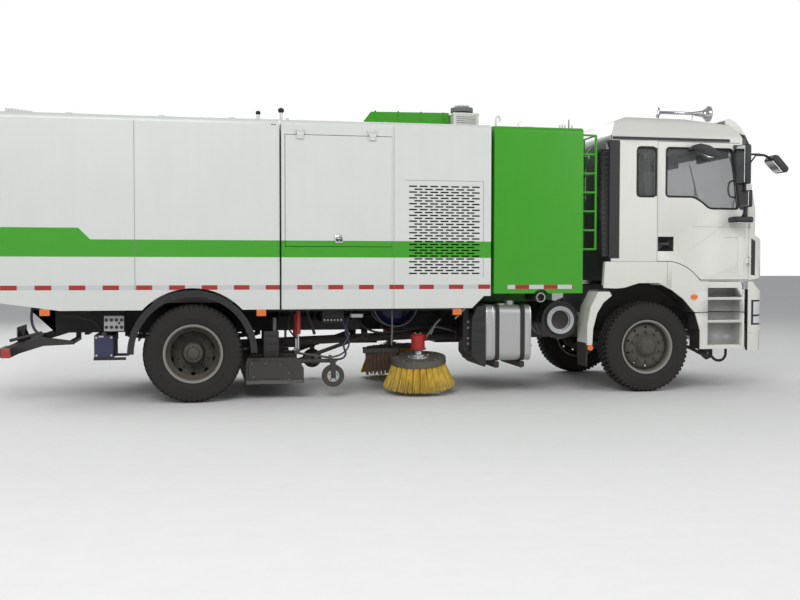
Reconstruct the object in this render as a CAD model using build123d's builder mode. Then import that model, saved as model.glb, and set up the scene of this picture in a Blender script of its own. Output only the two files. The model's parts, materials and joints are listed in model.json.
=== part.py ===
from build123d import *
import math
import os

os.makedirs("parts", exist_ok=True)

# Places along the truck are measured forward from the rear axle, heights from the ground.
REAR_AXLE_X = -2195.0
WHEELBASE = 5000.0
HALF_WIDTH = 1250.0
TYRE_R = 506.0
BEAD_R = 285.0
AXLE_Z = TYRE_R
FRONT_TRACK_Y = 1065.0
TWIN_INNER_Y = 765.0
TWIN_OUTER_Y = 1085.0
KINGPIN_Y = 900.0
KINGPIN_R = 22.0
SPINDLE_R = 45.0
RUN_FIT = 0.05

# chassis
RAIL_OUT = 430.0
RAIL_FLANGE = 75.0
RAIL_T = 8.0
RAIL_LOW = 690.0
RAIL_TOP = 930.0
RAIL_REAR = -1900.0
RAIL_FRONT = 6330.0
SUB_TOP = 1000.0

# body
BODY_REAR = -2325.0
BOX_FRONT = 885.0
HOUSE_REAR = 905.0
HOUSE_FRONT = 3155.0
BODY_TOP = 2930.0
SKIRT_LOW = 960.0
FLOOR_Z = 1200.0
WALL = 40.0
EDGE_R = 60.0
TANK_REAR = 3192.0
TANK_FRONT = 4203.0
TANK_LOW = 1115.0
TANK_TOP = BODY_TOP - 5
TIP_X = -1640.0
TIP_Z = 1010.0

# cab
CAB_REAR = 4520.0
CAB_LOW = 1250.0
CAB_NOSE = 6465.0
CAB_WALL = 50.0
CAB_PIVOT_X = 6380.0
CAB_PIVOT_Z = 1150.0
DOOR_HINGE_X = 6270.0
DOOR_HINGE_Y = 1266.0

# Places are drawn for a wheelbase of 5000 and a half width of 1250.
# These bands take up the difference when either size changes.
STRETCH_X = (800.0, 4210.0)
STRETCH_Y = (485.0, 750.0)


def along(x):
    """Place along the truck: kept around each axle, stretched in between."""
    grow = WHEELBASE - 5000
    share = (x - STRETCH_X[0]) / (STRETCH_X[1] - STRETCH_X[0])
    return x + grow * min(max(share, 0), 1)


def across(y):
    """Place across the truck: kept near the rails and at the sides, stretched in between."""
    grow = HALF_WIDTH - 1250
    share = (abs(y) - STRETCH_Y[0]) / (STRETCH_Y[1] - STRETCH_Y[0])
    return y + math.copysign(grow * min(max(share, 0), 1), y)


SIDE = Plane(origin=(REAR_AXLE_X, 0, 0), x_dir=(1, 0, 0), z_dir=(0, -1, 0))
TOP = Plane(origin=(REAR_AXLE_X, 0, 0), x_dir=(1, 0, 0), z_dir=(0, 0, 1))
FACE = Plane(origin=(REAR_AXLE_X, 0, 0), x_dir=(0, 1, 0), z_dir=(1, 0, 0))


def block(x, y, z, mode=Mode.ADD):
    """Box between pairs of limits."""
    x = (along(x[0]), along(x[1]))
    y = (across(y[0]), across(y[1]))
    with Locations(((x[0] + x[1]) / 2, (y[0] + y[1]) / 2, (z[0] + z[1]) / 2)):
        Box(x[1] - x[0], y[1] - y[0], z[1] - z[0], mode=mode)


def span(side, low, high):
    """Limits of a band on one side of the middle plane."""
    return (low, high) if side > 0 else (-high, -low)


def side_plate(points, y, mode=Mode.ADD):
    """Plate with a side outline between two widths."""
    y = (across(y[0]), across(y[1]))
    with BuildSketch(SIDE.offset(-y[1])) as outline:
        with BuildLine():
            Polyline(*[(along(x), z) for x, z in points], close=True)
        make_face()
    extrude(outline.sketch, amount=y[1] - y[0], mode=mode)


def front_plate(points, x, mode=Mode.ADD):
    """Plate with a front outline between two lengths."""
    x = (along(x[0]), along(x[1]))
    with BuildSketch(FACE.offset(x[0])) as outline:
        with BuildLine():
            Polyline(*[(across(y), z) for y, z in points], close=True)
        make_face()
    extrude(outline.sketch, amount=x[1] - x[0], mode=mode)


def turned(points, x, z, mode=Mode.ADD):
    """Ring turned about a cross axle from (width, radius) points."""
    hub = Plane(origin=(REAR_AXLE_X + along(x), 0, z), x_dir=(0, 1, 0), z_dir=(1, 0, 0))
    with BuildSketch(hub) as section:
        with BuildLine():
            Polyline(*[(across(y), r) for y, r in points], close=True)
        make_face()
    revolve(section.sketch, axis=Axis(hub.origin, (0, 1, 0)), mode=mode)


def cross_rod(x, y, z, radius, mode=Mode.ADD):
    """Round bar across the truck."""
    x = along(x)
    y = (across(y[0]), across(y[1]))
    with Locations((x, (y[0] + y[1]) / 2, z)):
        Cylinder(radius, y[1] - y[0], rotation=(90, 0, 0), mode=mode)


def long_rod(x, y, z, radius, mode=Mode.ADD):
    """Round bar along the truck."""
    x = (along(x[0]), along(x[1]))
    with Locations(((x[0] + x[1]) / 2, across(y), z)):
        Cylinder(radius, x[1] - x[0], rotation=(0, 90, 0), mode=mode)


def upright(x, y, z, radius, mode=Mode.ADD):
    """Round bar standing up."""
    with Locations((along(x), across(y), (z[0] + z[1]) / 2)):
        Cylinder(radius, z[1] - z[0], mode=mode)


def tube(ends, radius, mode=Mode.ADD):
    """Round bar between two points."""
    start = Vector(along(ends[0][0]) + REAR_AXLE_X, across(ends[0][1]), ends[0][2])
    way = Vector(along(ends[1][0]) + REAR_AXLE_X, across(ends[1][1]), ends[1][2]) - start
    with BuildSketch(Plane(origin=start, z_dir=way.normalized())) as section:
        Circle(radius)
    extrude(section.sketch, amount=way.length, mode=mode)


# ladder frame of two channel rails
CROSSMEMBERS = [-1850, 650, 1500, 2600, 3700]
SUB_CROSS = [-1300, 1100, 1900, 2700, 3300, 4050]
HOIST_FOOT = (-1000.0, 905.0)
HOIST_EYE = (760.0, 1085.0)
HOIST_PIN_R = 20.0
ARM_PIVOT = (2950.0, 520.0)
NOZZLE_PIVOT = (1900.0, 620.0)
LIFT_X = 1100.0
LIFT_Y = 700.0
TOW_R = 20.0
with BuildPart(TOP) as frame:
    for side in (-1, 1):
        block((RAIL_REAR, RAIL_FRONT), span(side, RAIL_OUT - RAIL_FLANGE, RAIL_OUT), (RAIL_LOW, RAIL_TOP))
        block((RAIL_REAR, RAIL_FRONT), span(side, RAIL_OUT - RAIL_FLANGE, RAIL_OUT - RAIL_T),
              (RAIL_LOW + RAIL_T, RAIL_TOP - RAIL_T), mode=Mode.SUBTRACT)
        # tall ears that carry the cab hinge
        block((RAIL_FRONT - 30, RAIL_FRONT + 80), span(side, 355, 395), (RAIL_LOW, 1180))
        cross_rod(CAB_PIVOT_X, span(side, 395, 510), CAB_PIVOT_Z, 20)
    for x in CROSSMEMBERS:
        block((x - 30, x + 30), (RAIL_T - RAIL_OUT, RAIL_OUT - RAIL_T), (710, 850))
    block((6280, 6330), (-RAIL_OUT, RAIL_OUT), (RAIL_LOW, 850))
    # foot bearing of the hoist
    block((-1040, -960), (RAIL_T - RAIL_OUT, RAIL_OUT - RAIL_T), (700, 810))
    for side in (-1, 1):
        block((-1035, -965), span(side, 80, 105), (810, 950))
        cross_rod(HOIST_FOOT[0], span(side, 20, 80), HOIST_FOOT[1], HOIST_PIN_R)
    # bearers between the rails and the body, with the tipping pins at the rear
    for side in (-1, 1):
        block((-1700, 4150), span(side, 350, RAIL_OUT), (RAIL_TOP, SUB_TOP))
        block((-1700, -1600), span(side, 350, RAIL_OUT), (SUB_TOP, TIP_Z + 40))
        cross_rod(TIP_X, span(side, 290, 350), TIP_Z, 22)
    for x in SUB_CROSS:
        block((x - 30, x + 30), (-350, 350), (RAIL_TOP, SUB_TOP))
    # towing ears under the nose
    for side in (-1, 1):
        side_plate([(6080, RAIL_LOW), (6260, RAIL_LOW), (6430, 400), (6430, 300), (6350, 270), (6300, 310)],
                   span(side, 355, 385))
        cross_rod(6375, span(side, 350, 390), 340, TOW_R, mode=Mode.SUBTRACT)
    block((6150, 6190), (-360, 360), (560, 620))
    # pins of the brush arms, nozzle arms and lift cylinders
    for side in (-1, 1):
        block((ARM_PIVOT[0] - 40, ARM_PIVOT[0] + 40), span(side, RAIL_OUT - 10, ARM_PIVOT[1] + 40), (RAIL_LOW, 720))
        upright(ARM_PIVOT[0], side * ARM_PIVOT[1], (552, 700), 20)
        block((NOZZLE_PIVOT[0] - 35, NOZZLE_PIVOT[0] + 35), span(side, RAIL_OUT, 460), (580, 800))
        cross_rod(NOZZLE_PIVOT[0], span(side, 450, 530), NOZZLE_PIVOT[1], 20)
        block((LIFT_X - 30, LIFT_X + 30), span(side, RAIL_OUT, LIFT_Y), (880, 910))
frame.part.label = "frame"
export_step(frame.part, "parts/frame.step")

# dropped front beam with kingpin eyes, and its leaf springs
with BuildPart(TOP) as front_axle:
    block((4950, 5050), (-800, 800), (370, 470))
    for side in (-1, 1):
        block((4955, 5045), span(side, 760, KINGPIN_Y - 30), (430, 580))
        upright(5000, side * KINGPIN_Y, (430, 580), 50)
        upright(5000, side * KINGPIN_Y, (420, 590), KINGPIN_R + RUN_FIT, mode=Mode.SUBTRACT)
        side_plate([(4300, 640), (4650, 590), (4900, 560), (5100, 560), (5350, 590), (5700, 640),
                    (5700, 672), (5350, 640), (5000, 625), (4650, 640), (4300, 672)], span(side, 395, 475))
        block((4940, 5060), span(side, 385, 485), (460, 565))
        block((4280, 4340), span(side, 395, RAIL_OUT), (645, RAIL_LOW))
        block((5660, 5720), span(side, 395, RAIL_OUT), (645, RAIL_LOW))
front_axle.part.label = "front_axle"
export_step(front_axle.part, "parts/front_axle.step")

# driven rear axle with its final drive and leaf springs
with BuildPart(TOP) as rear_axle:
    cross_rod(0, (-640, 640), AXLE_Z, 75)
    cross_rod(0, (-1150, 1150), AXLE_Z, SPINDLE_R)
    turned([(-150, 0), (-150, 120), (-90, 200), (90, 200), (150, 120), (150, 0)], 0, AXLE_Z)
    long_rod((0, 290), 0, AXLE_Z, 90)
    for side in (-1, 1):
        side_plate([(-700, 640), (-350, 600), (-80, 580), (80, 580), (350, 600), (700, 640),
                    (700, 678), (350, 655), (0, 650), (-350, 655), (-700, 678)], span(side, 395, 475))
        block((-70, 70), span(side, 385, 485), (500, 585))
        block((-730, -670), span(side, 395, RAIL_OUT), (645, RAIL_LOW))
        block((670, 730), span(side, 395, RAIL_OUT), (645, RAIL_LOW))
rear_axle.part.label = "rear_axle"
export_step(rear_axle.part, "parts/rear_axle.step")

# engines, gearbox and radiator as plain blocks, with the propeller shaft
with BuildPart(TOP) as drivetrain:
    block((4560, 5820), (-330, 330), (600, 1190))
    block((3960, 4560), (-220, 220), (560, 915))
    block((5820, 6020), (-340, 340), (640, 1180))
    tube(((3965, 0, 640), (297, 0, AXLE_Z)), 50)
    for side in (-1, 1):
        for x in (4730, 5530):
            block((x - 30, x + 30), span(side, 325, RAIL_OUT - RAIL_T), (720, 760))
    # sweeping engine and fan inside the housing
    block((1300, 2500), (-400, 400), (1046, 1900))
    block((2500, 2900), (-550, 550), (1046, 2100))
drivetrain.part.label = "drivetrain"
export_step(drivetrain.part, "parts/drivetrain.step")

# fuel tank on the right rail
FUEL_X = (2992.0, 3640.0)
FUEL_Z = (376.0, 986.0)
with BuildPart(TOP) as fuel_tank:
    block(FUEL_X, (-1170, -600), FUEL_Z)
    fillet(fuel_tank.edges().filter_by(Axis.X), radius=90)
    for x in (3080, 3530):
        block((x - 30, x + 30), (-640, -RAIL_OUT), (700, 860))
    upright(3440, -1000, (970, 1030), 55)
fuel_tank.part.label = "fuel_tank"
export_step(fuel_tank.part, "parts/fuel_tank.step")

# round exhaust silencer whose end faces outwards
SILENCER_X = 3992.0
SILENCER_Z = 815.0
with BuildPart(TOP) as silencer:
    cross_rod(SILENCER_X, (-1110, -600), SILENCER_Z, 205)
    cross_rod(SILENCER_X, (-1130, -1110), SILENCER_Z, 167)
    cross_rod(SILENCER_X, (-1131, -1095), SILENCER_Z, 115, mode=Mode.SUBTRACT)
    block((SILENCER_X - 50, SILENCER_X + 50), (-640, -RAIL_OUT), (760, 880))
silencer.part.label = "silencer"
export_step(silencer.part, "parts/silencer.step")

# battery case and two air reservoirs on the left rail
with BuildPart(TOP) as battery_case:
    block((2970, 3640), (600, 1150), (450, 930))
    block((3020, 3090), (RAIL_OUT, 640), (700, 860))
    block((3520, 3590), (RAIL_OUT, 640), (700, 860))
    for y in (620, 920):
        long_rod((3720, 4190), y, 790, 120)
    block((3800, 3840), (RAIL_OUT, 940), (770, 810))
    block((4070, 4110), (RAIL_OUT, 940), (770, 810))
battery_case.part.label = "battery_case"
export_step(battery_case.part, "parts/battery_case.step")

# hydraulic oil tank behind the right rear wheel, with its coupling plate
with BuildPart(TOP) as hydraulic_unit:
    block((-987, -795), (-1100, -560), (470, 700))
    block((-900, -800), (-640, -RAIL_OUT), (620, 760))
    block((-887, -691), (-1108, -1100), (744, 899))
    block((-860, -800), (-1100, -RAIL_OUT), (760, 800))
    for y in (-1090, -600):
        block((-995, -675), (y, y + 30), (445, 472))
hydraulic_unit.part.label = "hydraulic_unit"
export_step(hydraulic_unit.part, "parts/hydraulic_unit.step")

# round black guards over the twin wheels, with a lip on the outer edge
GUARD_R = 655.0
GUARD_LIP = 66.0
GUARD_END = 510.0


def half_ring(outer, inner, y, low, mode=Mode.ADD):
    """Half ring about the rear axle, cut off below."""
    y = (across(y[0]), across(y[1]))
    with BuildSketch(SIDE.offset(-y[1])) as outline:
        with Locations((0, AXLE_Z)):
            Circle(outer)
            Circle(inner, mode=Mode.SUBTRACT)
        with Locations((0, low - outer)):
            Rectangle(2 * outer + 10, 2 * outer, mode=Mode.SUBTRACT)
    extrude(outline.sketch, amount=y[1] - y[0], mode=mode)


with BuildPart(TOP) as rear_mudguards:
    for side in (-1, 1):
        half_ring(GUARD_R, GUARD_R - 14, span(side, 600, 1235), GUARD_END)
        half_ring(GUARD_R, GUARD_R - GUARD_LIP, span(side, 1213, 1235), GUARD_END)
        for x in (-515, 465):
            block((x, x + 50), span(side, RAIL_OUT, 620), (895, 950))
rear_mudguards.part.label = "rear_mudguards"
export_step(rear_mudguards.part, "parts/rear_mudguards.step")

# white guards behind the front wheels
with BuildPart(TOP) as front_mudguards:
    for side in (-1, 1):
        side_plate([(4400, 1150), (4300, 960), (4262, 760), (4262, 540), (4320, 540), (4330, 720),
                    (4375, 890), (4450, 1010), (4545, 1085), (4510, 1150)], span(side, 950, 1250))
        block((4320, 4370), span(side, RAIL_OUT, 960), (840, 880))
front_mudguards.part.label = "front_mudguards"
export_step(front_mudguards.part, "parts/front_mudguards.step")

# rear underrun beam on two struts
with BuildPart(TOP) as underrun_guard:
    block((-1860, -1780), (-1230, 1230), (494, 589))
    for side in (-1, 1):
        block((-1860, -1780), span(side, 365, 425), (589, RAIL_LOW))
        side_plate([(-1800, 500), (-1480, 600), (-1184, 612), (-1184, 645), (-1500, 690), (-1800, 585)],
                   span(side, 1040, 1090))
        block((-1240, -1190), span(side, 380, 1090), (612, 645))
        block((-1240, -1190), span(side, 380, RAIL_OUT), (645, RAIL_LOW))
underrun_guard.part.label = "underrun_guard"
export_step(underrun_guard.part, "parts/underrun_guard.step")

# bumper shell with rounded corners
BUMPER_REAR = 6245.0
BUMPER_FRONT = 6475.0
BUMPER_Z = (455.0, 1215.0)
LAMP_Z = (735.0, 1000.0)
STEP_GAP = 890.0


def rounded_plan(front, depth, shrink, z, mode=Mode.ADD):
    """Full-width block with rounded corners in plan, between two heights."""
    with BuildSketch(TOP.offset(z[0])) as outline:
        with Locations((along(front) - depth / 2, 0)):
            RectangleRounded(depth - 2 * shrink, 2 * (HALF_WIDTH - shrink), 150 - shrink)
    extrude(outline.sketch, amount=z[1] - z[0], mode=mode)


with BuildPart(TOP) as bumper:
    rounded_plan(BUMPER_FRONT, 600, 0, BUMPER_Z)
    rounded_plan(BUMPER_FRONT, 600, WALL, BUMPER_Z, mode=Mode.SUBTRACT)
    block((5000, BUMPER_REAR), (-1400, 1400), (400, 1300), mode=Mode.SUBTRACT)
    side_plate([(6400, 1215), (6475, 1110), (6600, 1110), (6600, 1300), (6400, 1300)],
               (-1400, 1400), mode=Mode.SUBTRACT)
    for side in (-1, 1):
        block((6300, 6600), span(side, 880, 1400), LAMP_Z, mode=Mode.SUBTRACT)
        block((6300, 6440), span(side, 900, 1225), (LAMP_Z[0] - 60, LAMP_Z[0]))
        block((6300, 6440), span(side, 900, 1225), (LAMP_Z[1], LAMP_Z[1] + 40))
        block((RAIL_FRONT, 6440), span(side, 400, RAIL_OUT), (700, 900))
    # middle of the bumper between the lamps
    block((6435, 6475), (-880, 880), LAMP_Z)
    # lower entry steps, fixed to the chassis
    for side in (-1, 1):
        side_plate([(5607, 477), (6225, 477), (6225, STEP_GAP - 5), (5545, STEP_GAP - 5), (5607, 690)],
                   span(side, 1000, 1250))
        block((5720, 6160), span(side, 1060, 1250 + 10), (520, 790), mode=Mode.SUBTRACT)
        block((5720, 6160), span(side, 1060, 1250 + 10), (815, 900), mode=Mode.SUBTRACT)
        block((5900, 5960), span(side, RAIL_OUT, 1000), (700, 760))
bumper.part.label = "bumper"
export_step(bumper.part, "parts/bumper.step")

# head lamps in the bumper corners, tail lamps on the underrun beam
with BuildPart(TOP) as lamps:
    rounded_plan(BUMPER_FRONT, 600, 0, LAMP_Z)
    block((5000, 6300), (-1400, 1400), (400, 1300), mode=Mode.SUBTRACT)
    block((6200, 6600), (-880, 880), (400, 1300), mode=Mode.SUBTRACT)
    block((6200, 6380), (-1190, 1190), (400, 1300), mode=Mode.SUBTRACT)
    for side in (-1, 1):
        block((-1900, -1860), span(side, 780, 1200), (497, 586))
lamps.part.label = "lamps"
export_step(lamps.part, "parts/lamps.step")

# water tank across the full width, with a notch for the filling coupling
RUNGS = 7
RUNG_PITCH = (TANK_TOP - 1671) / (RUNGS - 1)
LADDER_X = 4375.0
INLET_X = 3725.0
INLET_Z = 1070.0
with BuildPart(TOP) as water_tank:
    block((TANK_REAR, TANK_FRONT), (-1250, 1250), (TANK_LOW, TANK_TOP))
    top_edges = water_tank.faces().sort_by(Axis.Z)[-1].edges().filter_by(Axis.X)
    fillet(top_edges, radius=EDGE_R)
    cross_rod(INLET_X, (-1300, -1120), INLET_Z, 90, mode=Mode.SUBTRACT)
    for side in (-1, 1):
        block((TANK_REAR + 60, TANK_FRONT - 60), span(side, 350, RAIL_OUT), (SUB_TOP, TANK_LOW))
    # ladder of bent rungs on the front face
    for y in (-1180, -820):
        upright(LADDER_X, y, (1597, TANK_TOP - 70), 14)
    for i in range(RUNGS):
        z = 1600 + i * RUNG_PITCH
        cross_rod(LADDER_X, (-1180, -820), z, 11)
        for y in (-1180, -820):
            long_rod((TANK_FRONT - 5, LADDER_X), y, z, 11)
water_tank.part.label = "water_tank"
export_step(water_tank.part, "parts/water_tank.step")

# filling coupling: a threaded ring on a short pipe
INLET_R = 40.0
with BuildPart(TOP) as water_inlet:
    cross_rod(INLET_X, (-1225, -800), INLET_Z, 42)
    cross_rod(INLET_X, (-1240, -1180), INLET_Z, 55)
    cross_rod(INLET_X, (-1241, -1140), INLET_Z, INLET_R, mode=Mode.SUBTRACT)
    block((INLET_X - 40, INLET_X + 40), (-860, -800), (INLET_Z, TANK_LOW))
water_inlet.part.label = "water_inlet"
export_step(water_inlet.part, "parts/water_inlet.step")

# equipment housing: a hollow case with side doors and intake grilles
HATCH_X = (940.0, 2075.0)
HATCH_Z = (1610.0, BODY_TOP - 155)
GRILLE_X = (2225.0, 3057.0)
GRILLE_Z = (1310.0, 2280.0)
HATCH_HINGES = (1100.0, 1860.0)
HATCH_PIN_Y = 1266.0
HATCH_PIN_Z = HATCH_Z[1] + 15
with BuildPart(TOP) as equipment_housing:
    side_plate([(HOUSE_REAR, SKIRT_LOW), (2947, SKIRT_LOW), (3080, 1090), (HOUSE_FRONT, 1090),
                (HOUSE_FRONT, BODY_TOP), (HOUSE_REAR, BODY_TOP)], (-1250, 1250))
    top_edges = equipment_housing.faces().sort_by(Axis.Z)[-1].edges().filter_by(Axis.X)
    fillet(top_edges, radius=EDGE_R)
    block((HOUSE_REAR + WALL, HOUSE_FRONT - WALL), (WALL - 1250, 1250 - WALL),
          (1140, BODY_TOP - WALL), mode=Mode.SUBTRACT)
    block((HOUSE_REAR + WALL, 2920), (WALL - 1250, 1250 - WALL), (1046, 1141), mode=Mode.SUBTRACT)
    block((HOUSE_REAR - 10, 2995), (WALL - 1250, 1250 - WALL), (900, SUB_TOP), mode=Mode.SUBTRACT)
    for side in (-1, 1):
        block(HATCH_X, span(side, 1200, 1300), HATCH_Z, mode=Mode.SUBTRACT)
        block(GRILLE_X, span(side, 1200, 1300), GRILLE_Z, mode=Mode.SUBTRACT)
        for x in HATCH_HINGES:
            for end in (-52, 44):
                block((x + end, x + end + 8), span(side, 1240, HATCH_PIN_Y + 8), (HATCH_PIN_Z - 5, HATCH_PIN_Z + 40))
            long_rod((x - 50, x + 50), side * HATCH_PIN_Y, HATCH_PIN_Z, 6)
equipment_housing.part.label = "equipment_housing"
export_step(equipment_housing.part, "parts/equipment_housing.step")

with BuildPart(TOP) as air_grilles:
    for side in (-1, 1):
        block(GRILLE_X, span(side, 1215, 1245), GRILLE_Z)
air_grilles.part.label = "air_grilles"
export_step(air_grilles.part, "parts/air_grilles.step")

for side, name in ((-1, "service_door_right"), (1, "service_door_left")):
    with BuildPart(TOP) as hatch:
        block((HATCH_X[0] + 6, HATCH_X[1] - 6), span(side, 1212, 1250), (HATCH_Z[0] + 6, HATCH_Z[1] - 6))
        for x in HATCH_HINGES:
            block((x - 36, x + 36), span(side, 1250, HATCH_PIN_Y + 10), (HATCH_PIN_Z - 60, HATCH_PIN_Z - 3))
            long_rod((x - 36, x + 36), side * HATCH_PIN_Y, HATCH_PIN_Z, 10)
            long_rod((x - 40, x + 40), side * HATCH_PIN_Y, HATCH_PIN_Z, 6 + RUN_FIT, mode=Mode.SUBTRACT)
        block((1480, 1530), span(side, 1250, 1250 + 14), (1650, 1730))
    hatch.part.label = name
    export_step(hatch.part, "parts/" + name + ".step")

# exhaust air duct on the roof
with BuildPart(TOP) as roof_duct:
    side_plate([(1860, BODY_TOP), (1870, BODY_TOP + 100), (1950, BODY_TOP + 200), (2845, BODY_TOP + 212), (2845, BODY_TOP)],
               (-600, 600))
roof_duct.part.label = "roof_duct"
export_step(roof_duct.part, "parts/roof_duct.step")

# air cleaner box with its mushroom cap
with BuildPart(TOP) as air_cleaner:
    block((2860, 3150), (-760, -300), (BODY_TOP, BODY_TOP + 190))
    upright(3020, -500, (BODY_TOP + 190, BODY_TOP + 240), 45)
    upright(3020, -500, (BODY_TOP + 235, BODY_TOP + 285), 118)
    upright(3020, -500, (BODY_TOP + 285, BODY_TOP + 310), 85)
air_cleaner.part.label = "air_cleaner"
export_step(air_cleaner.part, "parts/air_cleaner.step")

# tipping dust box: floor, walls, roof and wheel cut-outs
BOX_CUT_R = GUARD_R + 22
DOOR_PIN_X = -2352.0
DOOR_PIN_Z = BODY_TOP - 18
with BuildPart(TOP) as dust_box:
    side_plate([(BODY_REAR, 1105), (-1300, SKIRT_LOW), (BOX_FRONT, SKIRT_LOW), (BOX_FRONT, BODY_TOP),
                (BODY_REAR, BODY_TOP)], (-1250, 1250))
    top_edges = dust_box.faces().sort_by(Axis.Z)[-1].edges().filter_by(Axis.X)
    fillet(top_edges, radius=EDGE_R)
    block((BODY_REAR - 10, BOX_FRONT - WALL), (WALL - 1250, 1250 - WALL),
          (FLOOR_Z + WALL, BODY_TOP - WALL), mode=Mode.SUBTRACT)
    block((BODY_REAR - 10, BOX_FRONT - WALL), (WALL - 1250, 1250 - WALL), (900, FLOOR_Z), mode=Mode.SUBTRACT)
    block((BOX_FRONT - WALL - 1, BOX_FRONT + 1), (-440, 440), (900, 1010), mode=Mode.SUBTRACT)
    cross_rod(0, (-1300, 1300), AXLE_Z, BOX_CUT_R, mode=Mode.SUBTRACT)
    for side in (-1, 1):
        block((-1530, BOX_FRONT - 20), span(side, 352, 428), (SUB_TOP + 6, FLOOR_Z + 5))
        block((-1690, -1560), span(side, 296, 344), (TIP_Z - 45, FLOOR_Z + 5))
        cross_rod(TIP_X, span(side, 280, 360), TIP_Z, 22 + RUN_FIT, mode=Mode.SUBTRACT)
        for y in (880, 1000):
            block((DOOR_PIN_X - 16, BODY_REAR + 5), span(side, y, y + 20), (DOOR_PIN_Z - 16, BODY_TOP))
        cross_rod(DOOR_PIN_X, span(side, 890, 1010), DOOR_PIN_Z, 10)
dust_box.part.label = "dust_box"
export_step(dust_box.part, "parts/dust_box.step")

# top-hung rear door
with BuildPart(TOP) as rear_door:
    block((-2400, -2337), (-1235, 1235), (1118, DOOR_PIN_Z - 28))
    for side in (-1, 1):
        block((-2370, -2337), span(side, 905, 995), (DOOR_PIN_Z - 42, DOOR_PIN_Z))
        cross_rod(DOOR_PIN_X, span(side, 905, 995), DOOR_PIN_Z, 17)
        cross_rod(DOOR_PIN_X, span(side, 880, 1020), DOOR_PIN_Z, 10 + RUN_FIT, mode=Mode.SUBTRACT)
rear_door.part.label = "rear_door"
export_step(rear_door.part, "parts/rear_door.step")

# cab shell from its side outline, with window and door openings
CAB_SIDE = [(CAB_REAR, CAB_LOW), (CAB_REAR, 2850), (4640, 3040), (4790, 3092), (5500, 3086), (6060, 3026),
            (6190, 2880), (6390, 2060), (6390, 1770), (CAB_NOSE, 1700), (CAB_NOSE, 1290), (6225, CAB_LOW)]
CAB_ROOM = [(CAB_REAR + CAB_WALL, CAB_LOW + 40), (CAB_REAR + CAB_WALL, 2830), (4670, 2995), (4800, 3042),
            (5500, 3036), (6035, 2980), (6135, 2870), (6335, 2050), (6335, 1330), (6200, CAB_LOW + 40)]
DOOR_EDGE = [(5075, 2805), (6099, 2805), (6250, 2060), (6267, 1990), (6267, 1255), (5600, 1255),
             (5517, 1338), (5442, 1393), (5348, 1438), (5260, 1462), (5075, 1462)]
DOOR_LEAF = [(5081, 2799), (6094, 2799), (6244, 2060), (6261, 1988), (6261, 1262), (5610, 1262),
             (5522, 1346), (5446, 1401), (5351, 1446), (5260, 1469), (5081, 1469)]
WINDSCREEN_CUT = [(6275, 2840), (6128, 2840), (6306, 2080), (6453, 2080)]
WINDSCREEN = [(6199, 2830), (6190, 2830), (6368, 2080), (6377, 2080)]
DOOR_PANE = [(5182, 2732), (5182, 2190), (5510, 2190), (5600, 2145), (5706, 2062), (6098, 2062), (6000, 2732)]
DOOR_HINGES = (1450.0, 1860.0)
QUARTER_X = (4835.0, 5056.0)
QUARTER_Z = (2186.0, 2733.0)
FENDER = [(4447, 1171), (4468, 1462), (5260, 1462), (5350, 1437), (5440, 1391), (5515, 1335), (5597, 1250),
          (5676, 1120), (5710, 1000), (5710, 896), (5535, 896), (5490, 945), (5397, 1045), (5260, 1145),
          (5100, 1225), (4870, 1225), (4700, 1175), (4600, 1165)]


def roof_chamfer(mode=Mode.SUBTRACT, drop=0.0):
    """Slope between the sides and the top of the roof."""
    for s in (-1, 1):
        front_plate([(s * 1260, 2850 - drop), (s * 1260, 3200), (s * (960 - drop), 3200), (s * (1000 - drop), 3110 - drop)],
                    (4400, 6500), mode=mode)


with BuildPart(TOP) as cab_room:
    side_plate(CAB_ROOM, (CAB_WALL - 1250, 1250 - CAB_WALL))
    roof_chamfer(drop=45)

with BuildPart(TOP) as cab_shell:
    side_plate(CAB_SIDE, (-1250, 1250))
    roof_chamfer()
    rounded_plan(CAB_NOSE, 2600, 0, (1200, 3200), mode=Mode.INTERSECT)
    with Locations((-REAR_AXLE_X, 0, 0)):
        add(cab_room.part, mode=Mode.SUBTRACT)
    for side in (-1, 1):
        side_plate(DOOR_EDGE, span(side, 1190, 1300), mode=Mode.SUBTRACT)
        side_plate(FENDER, span(side, 1188, 1300), mode=Mode.SUBTRACT)
        block(QUARTER_X, span(side, 1190, 1300), QUARTER_Z, mode=Mode.SUBTRACT)
        for z in DOOR_HINGES:
            for end in (-14, 64):
                block((6268, 6284), span(side, 1240, DOOR_HINGE_Y + 8), (z + end, z + end + 10))
            upright(DOOR_HINGE_X, side * DOOR_HINGE_Y, (z - 14, z + 74), 6)
        # seats of the cab hinge pins
        cross_rod(CAB_PIVOT_X, span(side, 462, 500), CAB_PIVOT_Z, 38)
        block((6345, 6385), span(side, 462, 500), (CAB_PIVOT_Z, 1290))
        cross_rod(CAB_PIVOT_X, span(side, 455, 510), CAB_PIVOT_Z, 20 + RUN_FIT, mode=Mode.SUBTRACT)
    side_plate(WINDSCREEN_CUT, (-1120, 1120), mode=Mode.SUBTRACT)
    block((CAB_REAR, CAB_REAR + CAB_WALL), (-520, 520), (2200, 2640), mode=Mode.SUBTRACT)
cab_shell.part.label = "cab_shell"
export_step(cab_shell.part, "parts/cab_shell.step")

# laminated screen, rear window and quarter windows, filling their openings
with BuildPart(TOP) as cab_glass:
    side_plate(WINDSCREEN, (-1120, 1120))
    block((CAB_REAR + 20, CAB_REAR + 28), (-520, 520), (2200, 2640))
    for side in (-1, 1):
        block(QUARTER_X, span(side, 1215, 1223), QUARTER_Z)
cab_glass.part.label = "cab_glass"
export_step(cab_glass.part, "parts/cab_glass.step")

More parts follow.
